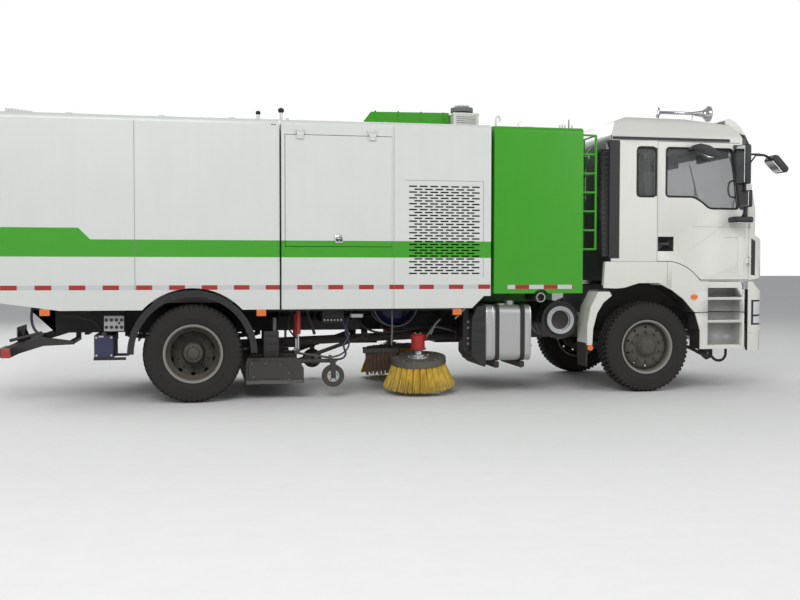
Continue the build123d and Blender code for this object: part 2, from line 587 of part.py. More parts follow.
# black trim: drip rails, rear corner strips, intake column, grille and front mirror
with BuildPart(TOP) as cab_trim:
    for side in (-1, 1):
        block((4540, 5950), span(side, 1250, 1250 + 14), (2812, 2842))
        block((CAB_REAR - 14, 4625), span(side, 1250, 1250 + 8), (1500, 2800))
        block((CAB_REAR - 14, CAB_REAR), span(side, 1150, 1250 + 8), (1500, 2800))
    block((4432, CAB_REAR - 14), (-1240, -1080), (1520, 2700))
    # front panel grille
    block((CAB_NOSE, CAB_NOSE + 14), (-1000, 1000), (1330, 1680))
    # front-view mirror on the right front corner
    tube(((6239.9, -1170, 2690), (6510, -1150, 2680)), 12)
    tube(((6505, -1150, 2683), (6590, -1120, 2620)), 12)
    tube(((6273.6, -1170, 2560), (6380, -1160, 2680)), 9)
    side_plate([(6520, 2660), (6560, 2690), (6760, 2560), (6790, 2500), (6760, 2480), (6700, 2480)], (-1220, -1010))
cab_trim.part.label = "cab_trim"
export_step(cab_trim.part, "parts/cab_trim.step")

# sun visor above the screen
with BuildPart(TOP) as sun_visor:
    side_plate([(6085, 3110), (6190, 3118), (6290, 3020), (6330, 2940), (6372, 2800), (6358, 2796),
                (6316, 2934), (6278, 3010), (6186, 3102), (6085, 3096)], (-1080, 1080))
    for y in ((-1080, -1060), (-10, 10), (1060, 1080)):
        side_plate([(6085, 3110), (6190, 3112), (6290, 3015), (6322, 2945), (6162, 2914), (6060, 3026), (6040, 3030)], y)
sun_visor.part.label = "sun_visor"
export_step(sun_visor.part, "parts/sun_visor.step")

# two-note roof horn on posts
HORN_Y = -500.0
HORN_LIFT = 171.0
HORN_BELL = [(5900, 0), (5900, 20), (6030, 40), (6090, 92), (6110, 92), (6110, 0)]
HORN_Z = 3087 + HORN_LIFT
with BuildPart(TOP) as horn:
    long_rod((5410, 5425), HORN_Y, HORN_Z, 62)
    long_rod((5425, 5990), HORN_Y, HORN_Z, 18)
    with BuildSketch(SIDE.offset(-across(HORN_Y))) as bell:
        with BuildLine():
            Polyline(*[(along(x), HORN_Z + r) for x, r in HORN_BELL], close=True)
        make_face()
    revolve(bell.sketch, axis=Axis((REAR_AXLE_X, across(HORN_Y), HORN_Z), (1, 0, 0)))
    for x, z in ((5440, 3087.1), (5880, 3050.3)):
        upright(x, HORN_Y, (z, HORN_Z), 14)
        upright(x, HORN_Y, (z, z + 10), 45)
horn.part.label = "horn"
export_step(horn.part, "parts/horn.step")

WHEEL_C = (5800.0, 640.0, 2060.0)
WHEEL_TILT = 60.0
COLUMN_R = 14.0
column_way = Vector(math.cos(math.radians(WHEEL_TILT)), 0, -math.sin(math.radians(WHEEL_TILT)))
wheel_plane = Plane(origin=(REAR_AXLE_X + along(WHEEL_C[0]), across(WHEEL_C[1]), WHEEL_C[2]), z_dir=column_way)

# dashboard, engine tunnel, seats and bunk
FLOOR_TOP = CAB_LOW + 40
with BuildPart(TOP) as cab_interior:
    block((6000, 6334.8), (-1190, 1190), (1700, 1960))
    block((4580, 6000), (-300, 300), (FLOOR_TOP, 1560))
    for y in (-640, 640):
        block((5260, 5760), (y - 250, y + 250), (FLOOR_TOP, 1760))
        side_plate([(5140, 1760), (5280, 1760), (5190, 2500), (5070, 2500)], (y - 240, y + 240))
    block((4575, 5060), (-1180, 1180), (FLOOR_TOP, 1700))
    with BuildSketch(wheel_plane.offset(25)) as column:
        Circle(28)
        Circle(COLUMN_R + RUN_FIT, mode=Mode.SUBTRACT)
    extrude(column.sketch, amount=420)
cab_interior.part.label = "cab_interior"
export_step(cab_interior.part, "parts/cab_interior.step")

# steering wheel on the left
with BuildPart(wheel_plane) as steering_wheel:
    Torus(225, 16)
    Cylinder(45, 30)
    with Locations((0, 0, 110)):
        Cylinder(COLUMN_R, 220)
    with PolarLocations(112, 3, start_angle=90):
        Box(216, 34, 14)
steering_wheel.part.label = "steering_wheel"
export_step(steering_wheel.part, "parts/steering_wheel.step")

# fenders and upper steps that tilt with the cab
with BuildPart(TOP) as cab_fenders:
    for side in (-1, 1):
        side_plate(FENDER, span(side, 1190, 1250))
        side_plate([(4600, 1165), (4700, 1175), (4870, 1225), (5100, 1225), (5260, 1145), (5397, 1045),
                    (5490, 945), (5535, 896), (5565, 896), (5515, 965), (5420, 1062), (5272, 1168),
                    (5108, 1249), (4865, 1249), (4695, 1200), (4600, 1190)], span(side, 950, 1190))
        side_plate([(5600, 896), (6220, 896), (6220, 1244), (5600, 1244)], span(side, 1000, 1250))
        block((5722, 6150), span(side, 1060, 1250 + 10), (1015, 1250), mode=Mode.SUBTRACT)
        block((5722, 6150), span(side, 1060, 1250 + 10), (880, 990), mode=Mode.SUBTRACT)
cab_fenders.part.label = "cab_fenders"
export_step(cab_fenders.part, "parts/cab_fenders.step")

# doors hung on their front edge, with panes in their windows
for side, name in ((-1, "door_right"), (1, "door_left")):
    with BuildPart(TOP) as door:
        side_plate(DOOR_LEAF, span(side, 1200, 1250))
        side_plate(DOOR_PANE, span(side, 1190, 1300), mode=Mode.SUBTRACT)
        block((5086, 5275), span(side, 1228, 1300), (1580, 1742), mode=Mode.SUBTRACT)
        block((5086, 5230), span(side, 1236, 1248), (1645, 1675))
        for z in DOOR_HINGES:
            block((6200, DOOR_HINGE_X), span(side, 1250, 1250 + 8), (z, z + 60))
            upright(DOOR_HINGE_X, side * DOOR_HINGE_Y, (z, z + 60), 12)
            upright(DOOR_HINGE_X, side * DOOR_HINGE_Y, (z - 5, z + 65), 6 + RUN_FIT, mode=Mode.SUBTRACT)
    door.part.label = name
    export_step(door.part, "parts/" + name + ".step")
    with BuildPart(TOP) as pane:
        side_plate(DOOR_PANE, span(side, 1220, 1227))
    pane.part.label = name + "_glass"
    export_step(pane.part, "parts/" + name + "_glass.step")

# mirrors on arms from the doors
for side, name in ((-1, "mirrors_right"), (1, "mirrors_left")):
    with BuildPart(TOP) as mirrors:
        block((6000, 6115), span(side, 1330, 1520), (2335, 2755))
        block((6030, 6145), span(side, 1330, 1520), (2066, 2266))
        block((6050, 6100), span(side, 1380, 1420), (2266, 2335))
        block((5900, 6185), span(side, 1300, 1480), (1900, 1990))
        block((6060, 6100), span(side, 1380, 1420), (1990, 2066))
        block((6040, 6080), span(side, 1250, 1340), (2700, 2730))
        block((6060, 6100), span(side, 1250, 1310), (1940, 1970))
        if side < 0:
            side_plate([(5397, 2700), (5480, 2770), (5612, 2744), (5758, 2650), (5740, 2612), (5600, 2625)], (-1440, -1290))
            block((5500, 5540), (-1290, -1250), (2735, 2765))
    mirrors.part.label = name
    export_step(mirrors.part, "parts/" + name + ".step")

# steering knuckles: fork, kingpin and stub axle
for side, name in ((-1, "knuckle_right"), (1, "knuckle_left")):
    with BuildPart(TOP) as knuckle:
        for z in ((380, 422), (588, 630)):
            block((4950, 5050), span(side, KINGPIN_Y - 50, KINGPIN_Y + 90), z)
        block((4940, 5060), span(side, KINGPIN_Y + 58, KINGPIN_Y + 90), (380, 630))
        upright(5000, side * KINGPIN_Y, (385, 625), KINGPIN_R)
        cross_rod(5000, span(side, KINGPIN_Y + 60, 1190), AXLE_Z, SPINDLE_R)
        cross_rod(5000, span(side, KINGPIN_Y + 60, KINGPIN_Y + 110), AXLE_Z, 70)
    knuckle.part.label = name
    export_step(knuckle.part, "parts/" + name + ".step")

# tyre section from the inner bead round the tread to the outer bead
TYRE_SECTION = [(-108, 285.3), (-112, 312), (-132, 355), (-137, 400), (-132, 450), (-118, 490), (-100, 502), (-60, 506),
                (60, 506), (100, 502), (118, 490), (132, 450), (137, 400), (132, 355), (112, 312), (108, 285.3)]
# rim section: barrel, two flanges
RIM_SECTION = [(-122, 303), (-114, 303), (-110, BEAD_R), (110, BEAD_R), (114, 303), (122, 303), (122, 290), (112, 268),
               (-112, 268), (-122, 290)]


def shifted(points, side, y):
    """Section points moved out along the axle."""
    return [(side * (y + w), r) for w, r in points]


for side, place in ((-1, "right"), (1, "left")):
    with BuildPart(TOP) as front_tyre:
        turned(shifted(TYRE_SECTION, side, FRONT_TRACK_Y), 5000, AXLE_Z)
    front_tyre.part.label = "front_tyre_" + place
    export_step(front_tyre.part, "parts/front_tyre_" + place + ".step")
    with BuildPart(TOP) as front_wheel:
        turned(shifted(RIM_SECTION, side, FRONT_TRACK_Y), 5000, AXLE_Z)
        turned(shifted([(30, 270), (60, 270), (78, 200), (92, 190), (92, 100), (76, 100), (76, 190), (60, 200)],
                       side, FRONT_TRACK_Y), 5000, AXLE_Z)
        turned(shifted([(-45, SPINDLE_R + RUN_FIT), (-45, 120), (92, 120), (92, 110), (135, 95), (150, 60),
                        (150, SPINDLE_R + RUN_FIT)], side, FRONT_TRACK_Y), 5000, AXLE_Z)
    front_wheel.part.label = "front_wheel_" + place
    export_step(front_wheel.part, "parts/front_wheel_" + place + ".step")
    with BuildPart(TOP) as rear_tyres:
        for y in (TWIN_INNER_Y, TWIN_OUTER_Y):
            turned(shifted(TYRE_SECTION, side, y), 0, AXLE_Z)
    rear_tyres.part.label = "rear_tyres_" + place
    export_step(rear_tyres.part, "parts/rear_tyres_" + place + ".step")
    with BuildPart(TOP) as rear_wheels:
        for y in (TWIN_INNER_Y, TWIN_OUTER_Y):
            turned(shifted(RIM_SECTION, side, y), 0, AXLE_Z)
        turned([(side * 880, 285), (side * 970, 285), (side * 970, 268), (side * 880, 268)], 0, AXLE_Z)
        turned([(side * 905, 270), (side * 925, 270), (side * 945, 190), (side * 945, 100), (side * 905, 100)], 0, AXLE_Z)
        turned([(side * 870, SPINDLE_R + RUN_FIT), (side * 870, 120), (side * 1020, 115), (side * 1120, 90),
                (side * 1155, 60), (side * 1155, SPINDLE_R + RUN_FIT)], 0, AXLE_Z)
    rear_wheels.part.label = "rear_wheels_" + place
    export_step(rear_wheels.part, "parts/rear_wheels_" + place + ".step")

# hoist cylinder: barrel on the frame, rod towards the box
hoist_len = math.hypot(HOIST_EYE[0] - HOIST_FOOT[0], HOIST_EYE[1] - HOIST_FOOT[1])
hoist_dir = Vector(HOIST_EYE[0] - HOIST_FOOT[0], 0, HOIST_EYE[1] - HOIST_FOOT[1]).normalized()
HOIST_ROD_R = 40.0
hoist_plane = Plane(origin=(REAR_AXLE_X + HOIST_FOOT[0], 0, HOIST_FOOT[1]), x_dir=(0, 1, 0), z_dir=hoist_dir)
with BuildPart(hoist_plane) as hoist_barrel:
    with Locations((0, 0, 800)):
        Cylinder(65, 1520)
    with Locations((0, 0, 30)):
        Box(110, 70, 80)
    with Locations((0, 0, 0)):
        Cylinder(40, 110, rotation=(0, 90, 0))
        Cylinder(HOIST_PIN_R + RUN_FIT, 140, rotation=(0, 90, 0), mode=Mode.SUBTRACT)
    with Locations((0, 0, 860)):
        Cylinder(HOIST_ROD_R + RUN_FIT, 1420, mode=Mode.SUBTRACT)
hoist_barrel.part.label = "hoist_barrel"
export_step(hoist_barrel.part, "parts/hoist_barrel.step")

with BuildPart(hoist_plane) as hoist_rod:
    with Locations((0, 0, (170 + hoist_len) / 2)):
        Cylinder(HOIST_ROD_R, hoist_len - 170)
    with Locations((0, 0, hoist_len)):
        Cylinder(42, 60, rotation=(0, 90, 0))
        Cylinder(HOIST_PIN_R, 80, rotation=(0, 90, 0), mode=Mode.SUBTRACT)
hoist_rod.part.label = "hoist_rod"
export_step(hoist_rod.part, "parts/hoist_rod.step")

# side brushes: disc with hub, bristle skirt, motor and swinging arm
BRUSH_R = 300.0
BRISTLE_R = 400.0
BRUSH_C = (2440.0, 860.0, 395.0)
BRUSH_SHAFT_R = 24.0
for side, place in ((-1, "right"), (1, "left")):
    tilt = Vector(-math.sin(math.radians(3)), side * math.sin(math.radians(7)), 1).normalized()
    brush_at = (REAR_AXLE_X + along(BRUSH_C[0]), side * across(BRUSH_C[1]), BRUSH_C[2])
    brush_plane = Plane(origin=brush_at, x_dir=(1, 0, 0.05), z_dir=tilt)
    with BuildPart(brush_plane) as side_brush:
        Cylinder(BRUSH_R, 30)
        with Locations((0, 0, 30)):
            Cylinder(90, 40)
        with Locations((0, 0, -30)):
            Cylinder(120, 40)
        with Locations((0, 0, -165)):
            Cone(BRISTLE_R, 285, 300)
        with Locations((0, 0, -166)):
            Cone(310, 200, 302, mode=Mode.SUBTRACT)
        with Locations((0, 0, -25)):
            Cylinder(210, 22)
        with Locations((0, 0, 95)):
            Cylinder(BRUSH_SHAFT_R, 110)
    side_brush.part.label = "side_brush_" + place
    export_step(side_brush.part, "parts/side_brush_" + place + ".step")
    with BuildPart(TOP) as brush_arm:
        upright(ARM_PIVOT[0], side * ARM_PIVOT[1], (565, 680), 45)
        tube(((ARM_PIVOT[0] - 35, side * (ARM_PIVOT[1] + 24), 620), (BRUSH_C[0] + 20, side * (BRUSH_C[1] - 10), 610)), 34)
        upright(ARM_PIVOT[0], side * ARM_PIVOT[1], (550, 690), 20 + RUN_FIT, mode=Mode.SUBTRACT)
        with BuildSketch(brush_plane.offset(95)) as motor:
            Circle(75)
        extrude(motor.sketch, amount=170)
        with BuildSketch(brush_plane.offset(90)) as bore:
            Circle(BRUSH_SHAFT_R + RUN_FIT)
        extrude(bore.sketch, amount=70, mode=Mode.SUBTRACT)
    brush_arm.part.label = "brush_arm_" + place
    export_step(brush_arm.part, "parts/brush_arm_" + place + ".step")

# suction nozzle across the truck, carried by two arms, with caster forks
CASTER = (1465.0, 1050.0, 239.0)
CASTER_PIN_R = 12.0
with BuildPart(TOP) as nozzle:
    side_plate([(560, 440), (1080, 440), (1150, 330), (1150, 170), (540, 170), (540, 380)], (-1080, 1080))
    side_plate([(590, 410), (1065, 410), (1118, 322), (1118, 160), (572, 160), (572, 370)], (-1050, 1050),
               mode=Mode.SUBTRACT)
    for side in (-1, 1):
        tube(((NOZZLE_PIVOT[0] - 30, side * 500, NOZZLE_PIVOT[1] - 8), (1120, side * 500, 350)), 22)
        cross_rod(NOZZLE_PIVOT[0], span(side, 476, 524), NOZZLE_PIVOT[1], 45)
        cross_rod(NOZZLE_PIVOT[0], span(side, 470, 530), NOZZLE_PIVOT[1], 20 + RUN_FIT, mode=Mode.SUBTRACT)
        for y in (1008, 1082):
            block((CASTER[0] - 26, CASTER[0] + 26), span(side, y, y + 10), (CASTER[2] - 26, 400))
        block((CASTER[0] - 40, CASTER[0] + 40), span(side, 1008, 1092), (390, 410))
        tube(((CASTER[0] - 30, side * 1050, 400), (1060, side * 1050, 400)), 22)
        cross_rod(CASTER[0], span(side, 1008, 1092), CASTER[2], CASTER_PIN_R)
        block((LIFT_X - 50, LIFT_X + 10), span(side, LIFT_Y - 20, LIFT_Y + 20), (400, 455))
nozzle.part.label = "nozzle"
export_step(nozzle.part, "parts/nozzle.step")

for side, place in ((-1, "right"), (1, "left")):
    with BuildPart(TOP) as caster:
        turned([(side * 1024, CASTER_PIN_R + RUN_FIT), (side * 1024, 105), (side * 1032, 118), (side * 1068, 118),
                (side * 1076, 105), (side * 1076, CASTER_PIN_R + RUN_FIT)], CASTER[0], CASTER[2])
    caster.part.label = "nozzle_wheel_" + place
    export_step(caster.part, "parts/nozzle_wheel_" + place + ".step")

# lift cylinders of the nozzle: barrels on the frame, rods below
LIFT_ROD_R = 16.0
with BuildPart(TOP) as lift_barrels:
    for side in (-1, 1):
        upright(LIFT_X, side * LIFT_Y, (640, 880), 32)
        upright(LIFT_X, side * LIFT_Y, (600, 868), LIFT_ROD_R + RUN_FIT, mode=Mode.SUBTRACT)
lift_barrels.part.label = "lift_barrels"
export_step(lift_barrels.part, "parts/lift_barrels.step")

with BuildPart(TOP) as lift_rods:
    for side in (-1, 1):
        upright(LIFT_X, side * LIFT_Y, (490, 860), LIFT_ROD_R)
        cross_rod(LIFT_X, span(side, LIFT_Y - 16, LIFT_Y + 16), 490, 26)
lift_rods.part.label = "lift_rods"
export_step(lift_rods.part, "parts/lift_rods.step")
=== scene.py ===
"""Looks of the street sweeper truck, built around its CAD frame."""

import json
import math
import random

import bmesh
import bpy
from mathutils import Matrix, Vector

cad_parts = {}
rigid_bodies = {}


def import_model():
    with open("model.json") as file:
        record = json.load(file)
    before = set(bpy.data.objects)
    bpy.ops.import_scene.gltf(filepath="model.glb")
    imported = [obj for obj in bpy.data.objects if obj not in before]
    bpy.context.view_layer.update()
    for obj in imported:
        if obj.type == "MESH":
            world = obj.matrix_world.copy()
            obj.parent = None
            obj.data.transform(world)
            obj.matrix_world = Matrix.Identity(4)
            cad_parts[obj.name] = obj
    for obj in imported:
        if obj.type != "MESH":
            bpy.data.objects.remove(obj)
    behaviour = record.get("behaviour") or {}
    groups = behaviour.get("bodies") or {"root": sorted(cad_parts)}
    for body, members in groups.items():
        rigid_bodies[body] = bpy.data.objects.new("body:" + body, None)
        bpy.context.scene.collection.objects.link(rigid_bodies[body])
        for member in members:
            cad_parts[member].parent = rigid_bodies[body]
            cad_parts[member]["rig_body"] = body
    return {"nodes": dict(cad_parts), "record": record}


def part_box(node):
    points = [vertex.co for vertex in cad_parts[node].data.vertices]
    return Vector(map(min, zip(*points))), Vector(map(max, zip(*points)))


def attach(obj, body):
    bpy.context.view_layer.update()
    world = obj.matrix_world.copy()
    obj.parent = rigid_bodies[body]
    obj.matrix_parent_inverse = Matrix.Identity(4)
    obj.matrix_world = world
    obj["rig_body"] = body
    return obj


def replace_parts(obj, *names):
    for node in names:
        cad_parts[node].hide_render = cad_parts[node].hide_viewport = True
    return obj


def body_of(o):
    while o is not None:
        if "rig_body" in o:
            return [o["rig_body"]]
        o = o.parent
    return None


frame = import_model()

bl_info = {
    "name": "Street sweeper truck",
    "version": (1, 0, 0),
    "blender": (4, 5, 0),
    "location": "3D View > Sidebar > Sweeper",
    "description": "Builds tyres, brushes, trim and paint around the CAD frame of a street sweeper truck",
    "category": "Object",
}

# Places along the truck are measured forward from the rear axle, heights from the ground, in metres.
REAR_X = (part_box("rear_axle")[0].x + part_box("rear_axle")[1].x) / 2
HALF_WIDTH = 1.25
AXLE_Z = 0.506
FRONT_X = 5.0
FRONT_TRACK = 1.065
REAR_TRACKS = (0.765, 1.085)
RAIL_LOW, RAIL_TOP = 0.690, 0.930
RAIL_SIDE = 0.43
BODY_TOP = 2.93
TANK_TOP = 2.925
BOX_REAR = -2.40
CAB_CORNER = 0.15
SILENCER = (3.992, 0.815)
BRUSH = (2.44, 0.86, 0.395)
CASTER = (1.465, 1.05, 0.239)
DUCT_X, DUCT_Z = 2.20, 0.985
STEERING = Vector((5.800, 0.640, 2.060))
STEERING_WAY = Vector((0.5, 0, -0.8660254))
STRIPE_LOW, STRIPE_TOP, STRIPE_STEP = 1.50, 1.675, 0.115
BODY_TAPE = (-2.29, 3.15, 1.165, 1.213, 3.16)
TANK_TAPE = (3.345, 4.095, 1.163, 1.208, 0.145)
TAPE_PITCH = 0.325
BLACK = (0.02, 0.02, 0.021, 1)
SIDES = ((-1, "right"), (1, "left"))
SLOT_OF = {part["node"]: part["material_slot"] for part in frame["record"]["subparts"]}
SCRATCH = bpy.data.meshes.new("scratch")


class SweeperSettings(bpy.types.PropertyGroup):
    """Sizes and colours of the truck that a user may change."""

    body_white: bpy.props.FloatVectorProperty(name="Body white",
                                              description="Paint of the dust box and housing",
                                              subtype="COLOR", size=3, default=(0.68, 0.70, 0.67))
    cab_white: bpy.props.FloatVectorProperty(name="Cab white", description="Paint of the cab", subtype="COLOR",
                                             size=3, default=(0.70, 0.70, 0.65))
    green: bpy.props.FloatVectorProperty(name="Green", description="Paint of the tank, duct and stripe",
                                         subtype="COLOR", size=3, default=(0.040, 0.33, 0.006))
    tape_red: bpy.props.FloatVectorProperty(name="Tape red", description="Red dashes of the reflective tape",
                                            subtype="COLOR", size=3, default=(0.36, 0.012, 0.012))
    bristle: bpy.props.FloatVectorProperty(name="Bristle", description="Colour of the side brush bristles",
                                           subtype="COLOR", size=3, default=(0.86, 0.55, 0.06))
    dust_colour: bpy.props.FloatVectorProperty(name="Dust colour", description="Colour of the road dust",
                                               subtype="COLOR", size=3, default=(0.235, 0.20, 0.155))
    dust: bpy.props.FloatProperty(name="Dust", description="How dusty the truck is", default=1.0, min=0, max=2)
    lug_count: bpy.props.IntProperty(name="Tread blocks", description="Blocks in each row of a tyre's tread",
                                     default=58, min=20, max=90)
    lug_height: bpy.props.FloatProperty(name="Tread depth", description="Height of the tread blocks",
                                        unit="LENGTH", default=0.022)
    tufts: bpy.props.IntProperty(name="Brush tufts", description="Tufts around each side brush", default=26,
                                 min=8, max=60)
    window_tint: bpy.props.FloatProperty(name="Window tint", description="How much light the windows hold back",
                                         default=0.05, min=0, max=1, subtype="FACTOR")


# Shapes


def span(middle, half):
    """Limits on both sides of a middle."""
    return middle - half, middle + half


def turn_to(way):
    """Matrix that turns the Z axis to a direction."""
    return way.to_track_quat("Z", "Y").to_matrix().to_4x4()


def rounded_edges(part, size, segments=1, sharper=30):
    """Bevels the edges that are sharper than an angle."""
    if size:
        edges = [e for e in part.edges
                 if len(e.link_faces) == 2 and e.calc_face_angle() > math.radians(sharper)]
        bmesh.ops.bevel(part, geom=edges, offset=size, segments=segments, profile=0.5, affect="EDGES",
                        material=-1, clamp_overlap=True)
    return part


def block(x, y, z, edge=0.004, segments=1):
    """Block between pairs of limits."""
    low = Vector((min(x), min(y), min(z)))
    high = Vector((max(x), max(y), max(z)))
    part = bmesh.new()
    bmesh.ops.create_cube(part, size=1, matrix=Matrix.Translation((low + high) / 2)
                          @ Matrix.Diagonal((*(high - low), 1)))
    return rounded_edges(part, edge, segments)


def rod(start, end, radius, end_radius=None, sides=20, edge=0.0):
    """Round bar or cone between two points."""
    start = Vector(start)
    way = Vector(end) - start
    part = bmesh.new()
    bmesh.ops.create_cone(part, cap_ends=True, segments=sides, radius1=radius,
                          radius2=radius if end_radius is None else end_radius, depth=way.length,
                          matrix=Matrix.Translation(start + way / 2) @ turn_to(way))
    return rounded_edges(part, edge, 2, 50)


def turned(profile, centre=(0, 0, 0), axis=(0, 1, 0), steps=48, ring=None):
    """Turned shape from (along the axis, radius) points, closed to a ring where none is on the axis."""
    part = bmesh.new()
    if ring is None:
        ring = all(radius > 0 for _, radius in profile)
    axis = Vector(axis)
    out = axis.orthogonal().normalized()
    points = [part.verts.new(axis * a + out * r) for a, r in profile]
    chain = [part.edges.new(pair) for pair in zip(points, points[1:] + (points[:1] if ring else []))]
    bmesh.ops.spin(part, geom=points + chain, cent=(0, 0, 0), axis=axis, angle=math.tau, steps=steps,
                   use_merge=True)
    bmesh.ops.remove_doubles(part, verts=part.verts, dist=1e-5)
    bmesh.ops.translate(part, verts=part.verts, vec=centre)
    return part


def band(ends, radii, centre, axis=(0, 1, 0), steps=48):
    """Plain ring between two places along its axis and two radii."""
    (start, end), (inner, outer) = ends, radii
    return turned([(start, inner), (start, outer), (end, outer), (end, inner)], centre, axis, steps)


FACING = {"y": lambda a, b, d: (a, d, b), "z": lambda a, b, d: (a, b, d), "x": lambda a, b, d: (d, a, b)}


def plate(points, depth, facing="y", edge=0.003, segments=1):
    """Outline made solid between two depths: (x, z) points facing y, (x, y) facing z, (y, z) facing x."""
    place = FACING[facing]
    part = bmesh.new()
    face = part.faces.new([part.verts.new(place(a, b, depth[0])) for a, b in points])
    made = bmesh.ops.extrude_face_region(part, geom=[face])["geom"]
    moved = [v for v in made if isinstance(v, bmesh.types.BMVert)]
    bmesh.ops.translate(part, verts=moved, vec=place(0, 0, depth[1] - depth[0]))
    bmesh.ops.recalc_face_normals(part, faces=part.faces)
    return rounded_edges(part, edge, segments)


def eased(points, radius, steps=3):
    """Outline with its corners rounded."""
    out = []
    for i, corner in enumerate(points):
        corner = Vector(corner)
        before = Vector(points[i - 1]) - corner
        after = Vector(points[(i + 1) % len(points)]) - corner
        a = corner + before.normalized() * min(radius, before.length * 0.45)
        b = corner + after.normalized() * min(radius, after.length * 0.45)
        for k in range(steps + 1):
            t = k / steps
            out.append(tuple(a * (1 - t) ** 2 + corner * 2 * t * (1 - t) + b * t * t))
    return out


def hose(points, radius, bend="AUTO", loop=False, turn=2):
    """Round hose, cable or bent bar through points."""
    curve = bpy.data.curves.new("hose", "CURVE")
    curve.dimensions = "3D"
    curve.bevel_depth = radius
    curve.bevel_resolution = turn
    curve.resolution_u = 6 if bend == "AUTO" else 1
    curve.use_fill_caps = True
    line = curve.splines.new("BEZIER")
    line.bezier_points.add(len(points) - 1)
    line.use_cyclic_u = loop
    for knot, point in zip(line.bezier_points, points):
        knot.co = point
        knot.handle_left_type = knot.handle_right_type = bend
    holder = bpy.data.objects.new("hose", curve)
    mesh = bpy.data.meshes.new_from_object(holder)
    part = bmesh.new()
    part.from_mesh(mesh)
    bpy.data.objects.remove(holder)
    bpy.data.curves.remove(curve)
    bpy.data.meshes.remove(mesh)
    return part


def moved(part, matrix):
    """The same part, moved."""
    bmesh.ops.transform(part, matrix=matrix, verts=part.verts)
    return part


def around(part, centre, axis, count):
    """Copies of a part spread around an axis."""
    bmesh.ops.spin(part, geom=part.verts[:] + part.edges[:] + part.faces[:], cent=centre, axis=axis,
                   angle=math.tau * (count - 1) / count, steps=count - 1, use_duplicate=True)
    return part


def bolt(place, facing, size=0.009, washer=True):
    """Hexagon bolt head on a washer."""
    place, facing = Vector(place), Vector(facing).normalized()
    part = rod(place, place + facing * size * 0.9, size, sides=6)
    if washer:
        bmesh.ops.create_cone(part, cap_ends=True, segments=12, radius1=size * 1.5, radius2=size * 1.4,
                              depth=size * 0.4, matrix=Matrix.Translation(place + facing * size * 0.15)
                              @ turn_to(facing))
    return part


class Shape:
    """A piece under construction."""

    def __init__(self, mirrored=False):
        self.mesh = bmesh.new()
        self.finishes = []
        self.mirrored = mirrored

    def add(self, part, finish, both=False):
        """Joins a part in a finish, and its mirror image where both is set or the piece is mirrored."""
        if finish not in self.finishes:
            self.finishes.append(finish)
        for face in part.faces:
            face.material_index = self.finishes.index(finish)
            face.smooth = True
        part.to_mesh(SCRATCH)
        self.mesh.from_mesh(SCRATCH)
        if both or self.mirrored:
            bmesh.ops.scale(part, verts=part.verts, vec=(1, -1, 1))
            bmesh.ops.reverse_faces(part, faces=part.faces)
            part.to_mesh(SCRATCH)
            self.mesh.from_mesh(SCRATCH)
        part.free()

    def place(self, name, body, slot, crease=32):
        """Turns the parts into one piece that moves with a body."""
        bmesh.ops.recalc_face_normals(self.mesh, faces=self.mesh.faces)
        bmesh.ops.translate(self.mesh, verts=self.mesh.verts, vec=(REAR_X, 0, 0))
        mesh = bpy.data.meshes.new(name)
        self.mesh.to_mesh(mesh)
        self.mesh.free()
        for finish in self.finishes:
            mesh.materials.append(material(finish))
        mesh.set_sharp_from_angle(angle=math.radians(crease))
        piece = bpy.data.objects.new(name, mesh)
        bpy.context.scene.collection.objects.link(piece)
        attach(piece, body)
        return piece

    def stand_for(self, node):
        """Places the piece for a CAD node, on its body."""
        body = body_of(frame["nodes"][node])[0]
        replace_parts(self.place("visual_" + node, body, SLOT_OF[node]), node)


# Shader arithmetic


class Number:
    """A value inside a shader, used like an ordinary number."""

    def __init__(self, look, socket):
        self.look = look
        self.socket = socket

    def _do(self, operation, *values, clamp=False):
        node = self.look.node("ShaderNodeMath", {"operation": operation, "use_clamp": clamp},
                              dict(enumerate(values)))
        return Number(self.look, node.outputs[0])

    def __add__(self, other):
        return self._do("ADD", self, other)

    def __radd__(self, other):
        return self._do("ADD", other, self)

    def __sub__(self, other):
        return self._do("SUBTRACT", self, other)

    def __rsub__(self, other):
        return self._do("SUBTRACT", other, self)

    def __mul__(self, other):
        return self._do("MULTIPLY", self, other)

    def __rmul__(self, other):
        return self._do("MULTIPLY", other, self)

    def __truediv__(self, other):
        return self._do("DIVIDE", self, other)

    def __rtruediv__(self, other):
        return self._do("DIVIDE", other, self)

    def clamp(self):
        return self._do("ADD", self, 0.0, clamp=True)

    def abs(self):
        return self._do("ABSOLUTE", self)

    def fraction(self):
        return self._do("FRACT", self)

    def above(self, level, soft=0.002):
        """1 where the value is above a level, 0 below."""
        return ((self - level) / soft + 0.5).clamp()

    def between(self, low, high, soft=0.002):
        """1 between two levels."""
        return self.above(low, soft) * (1 - self.above(high, soft))


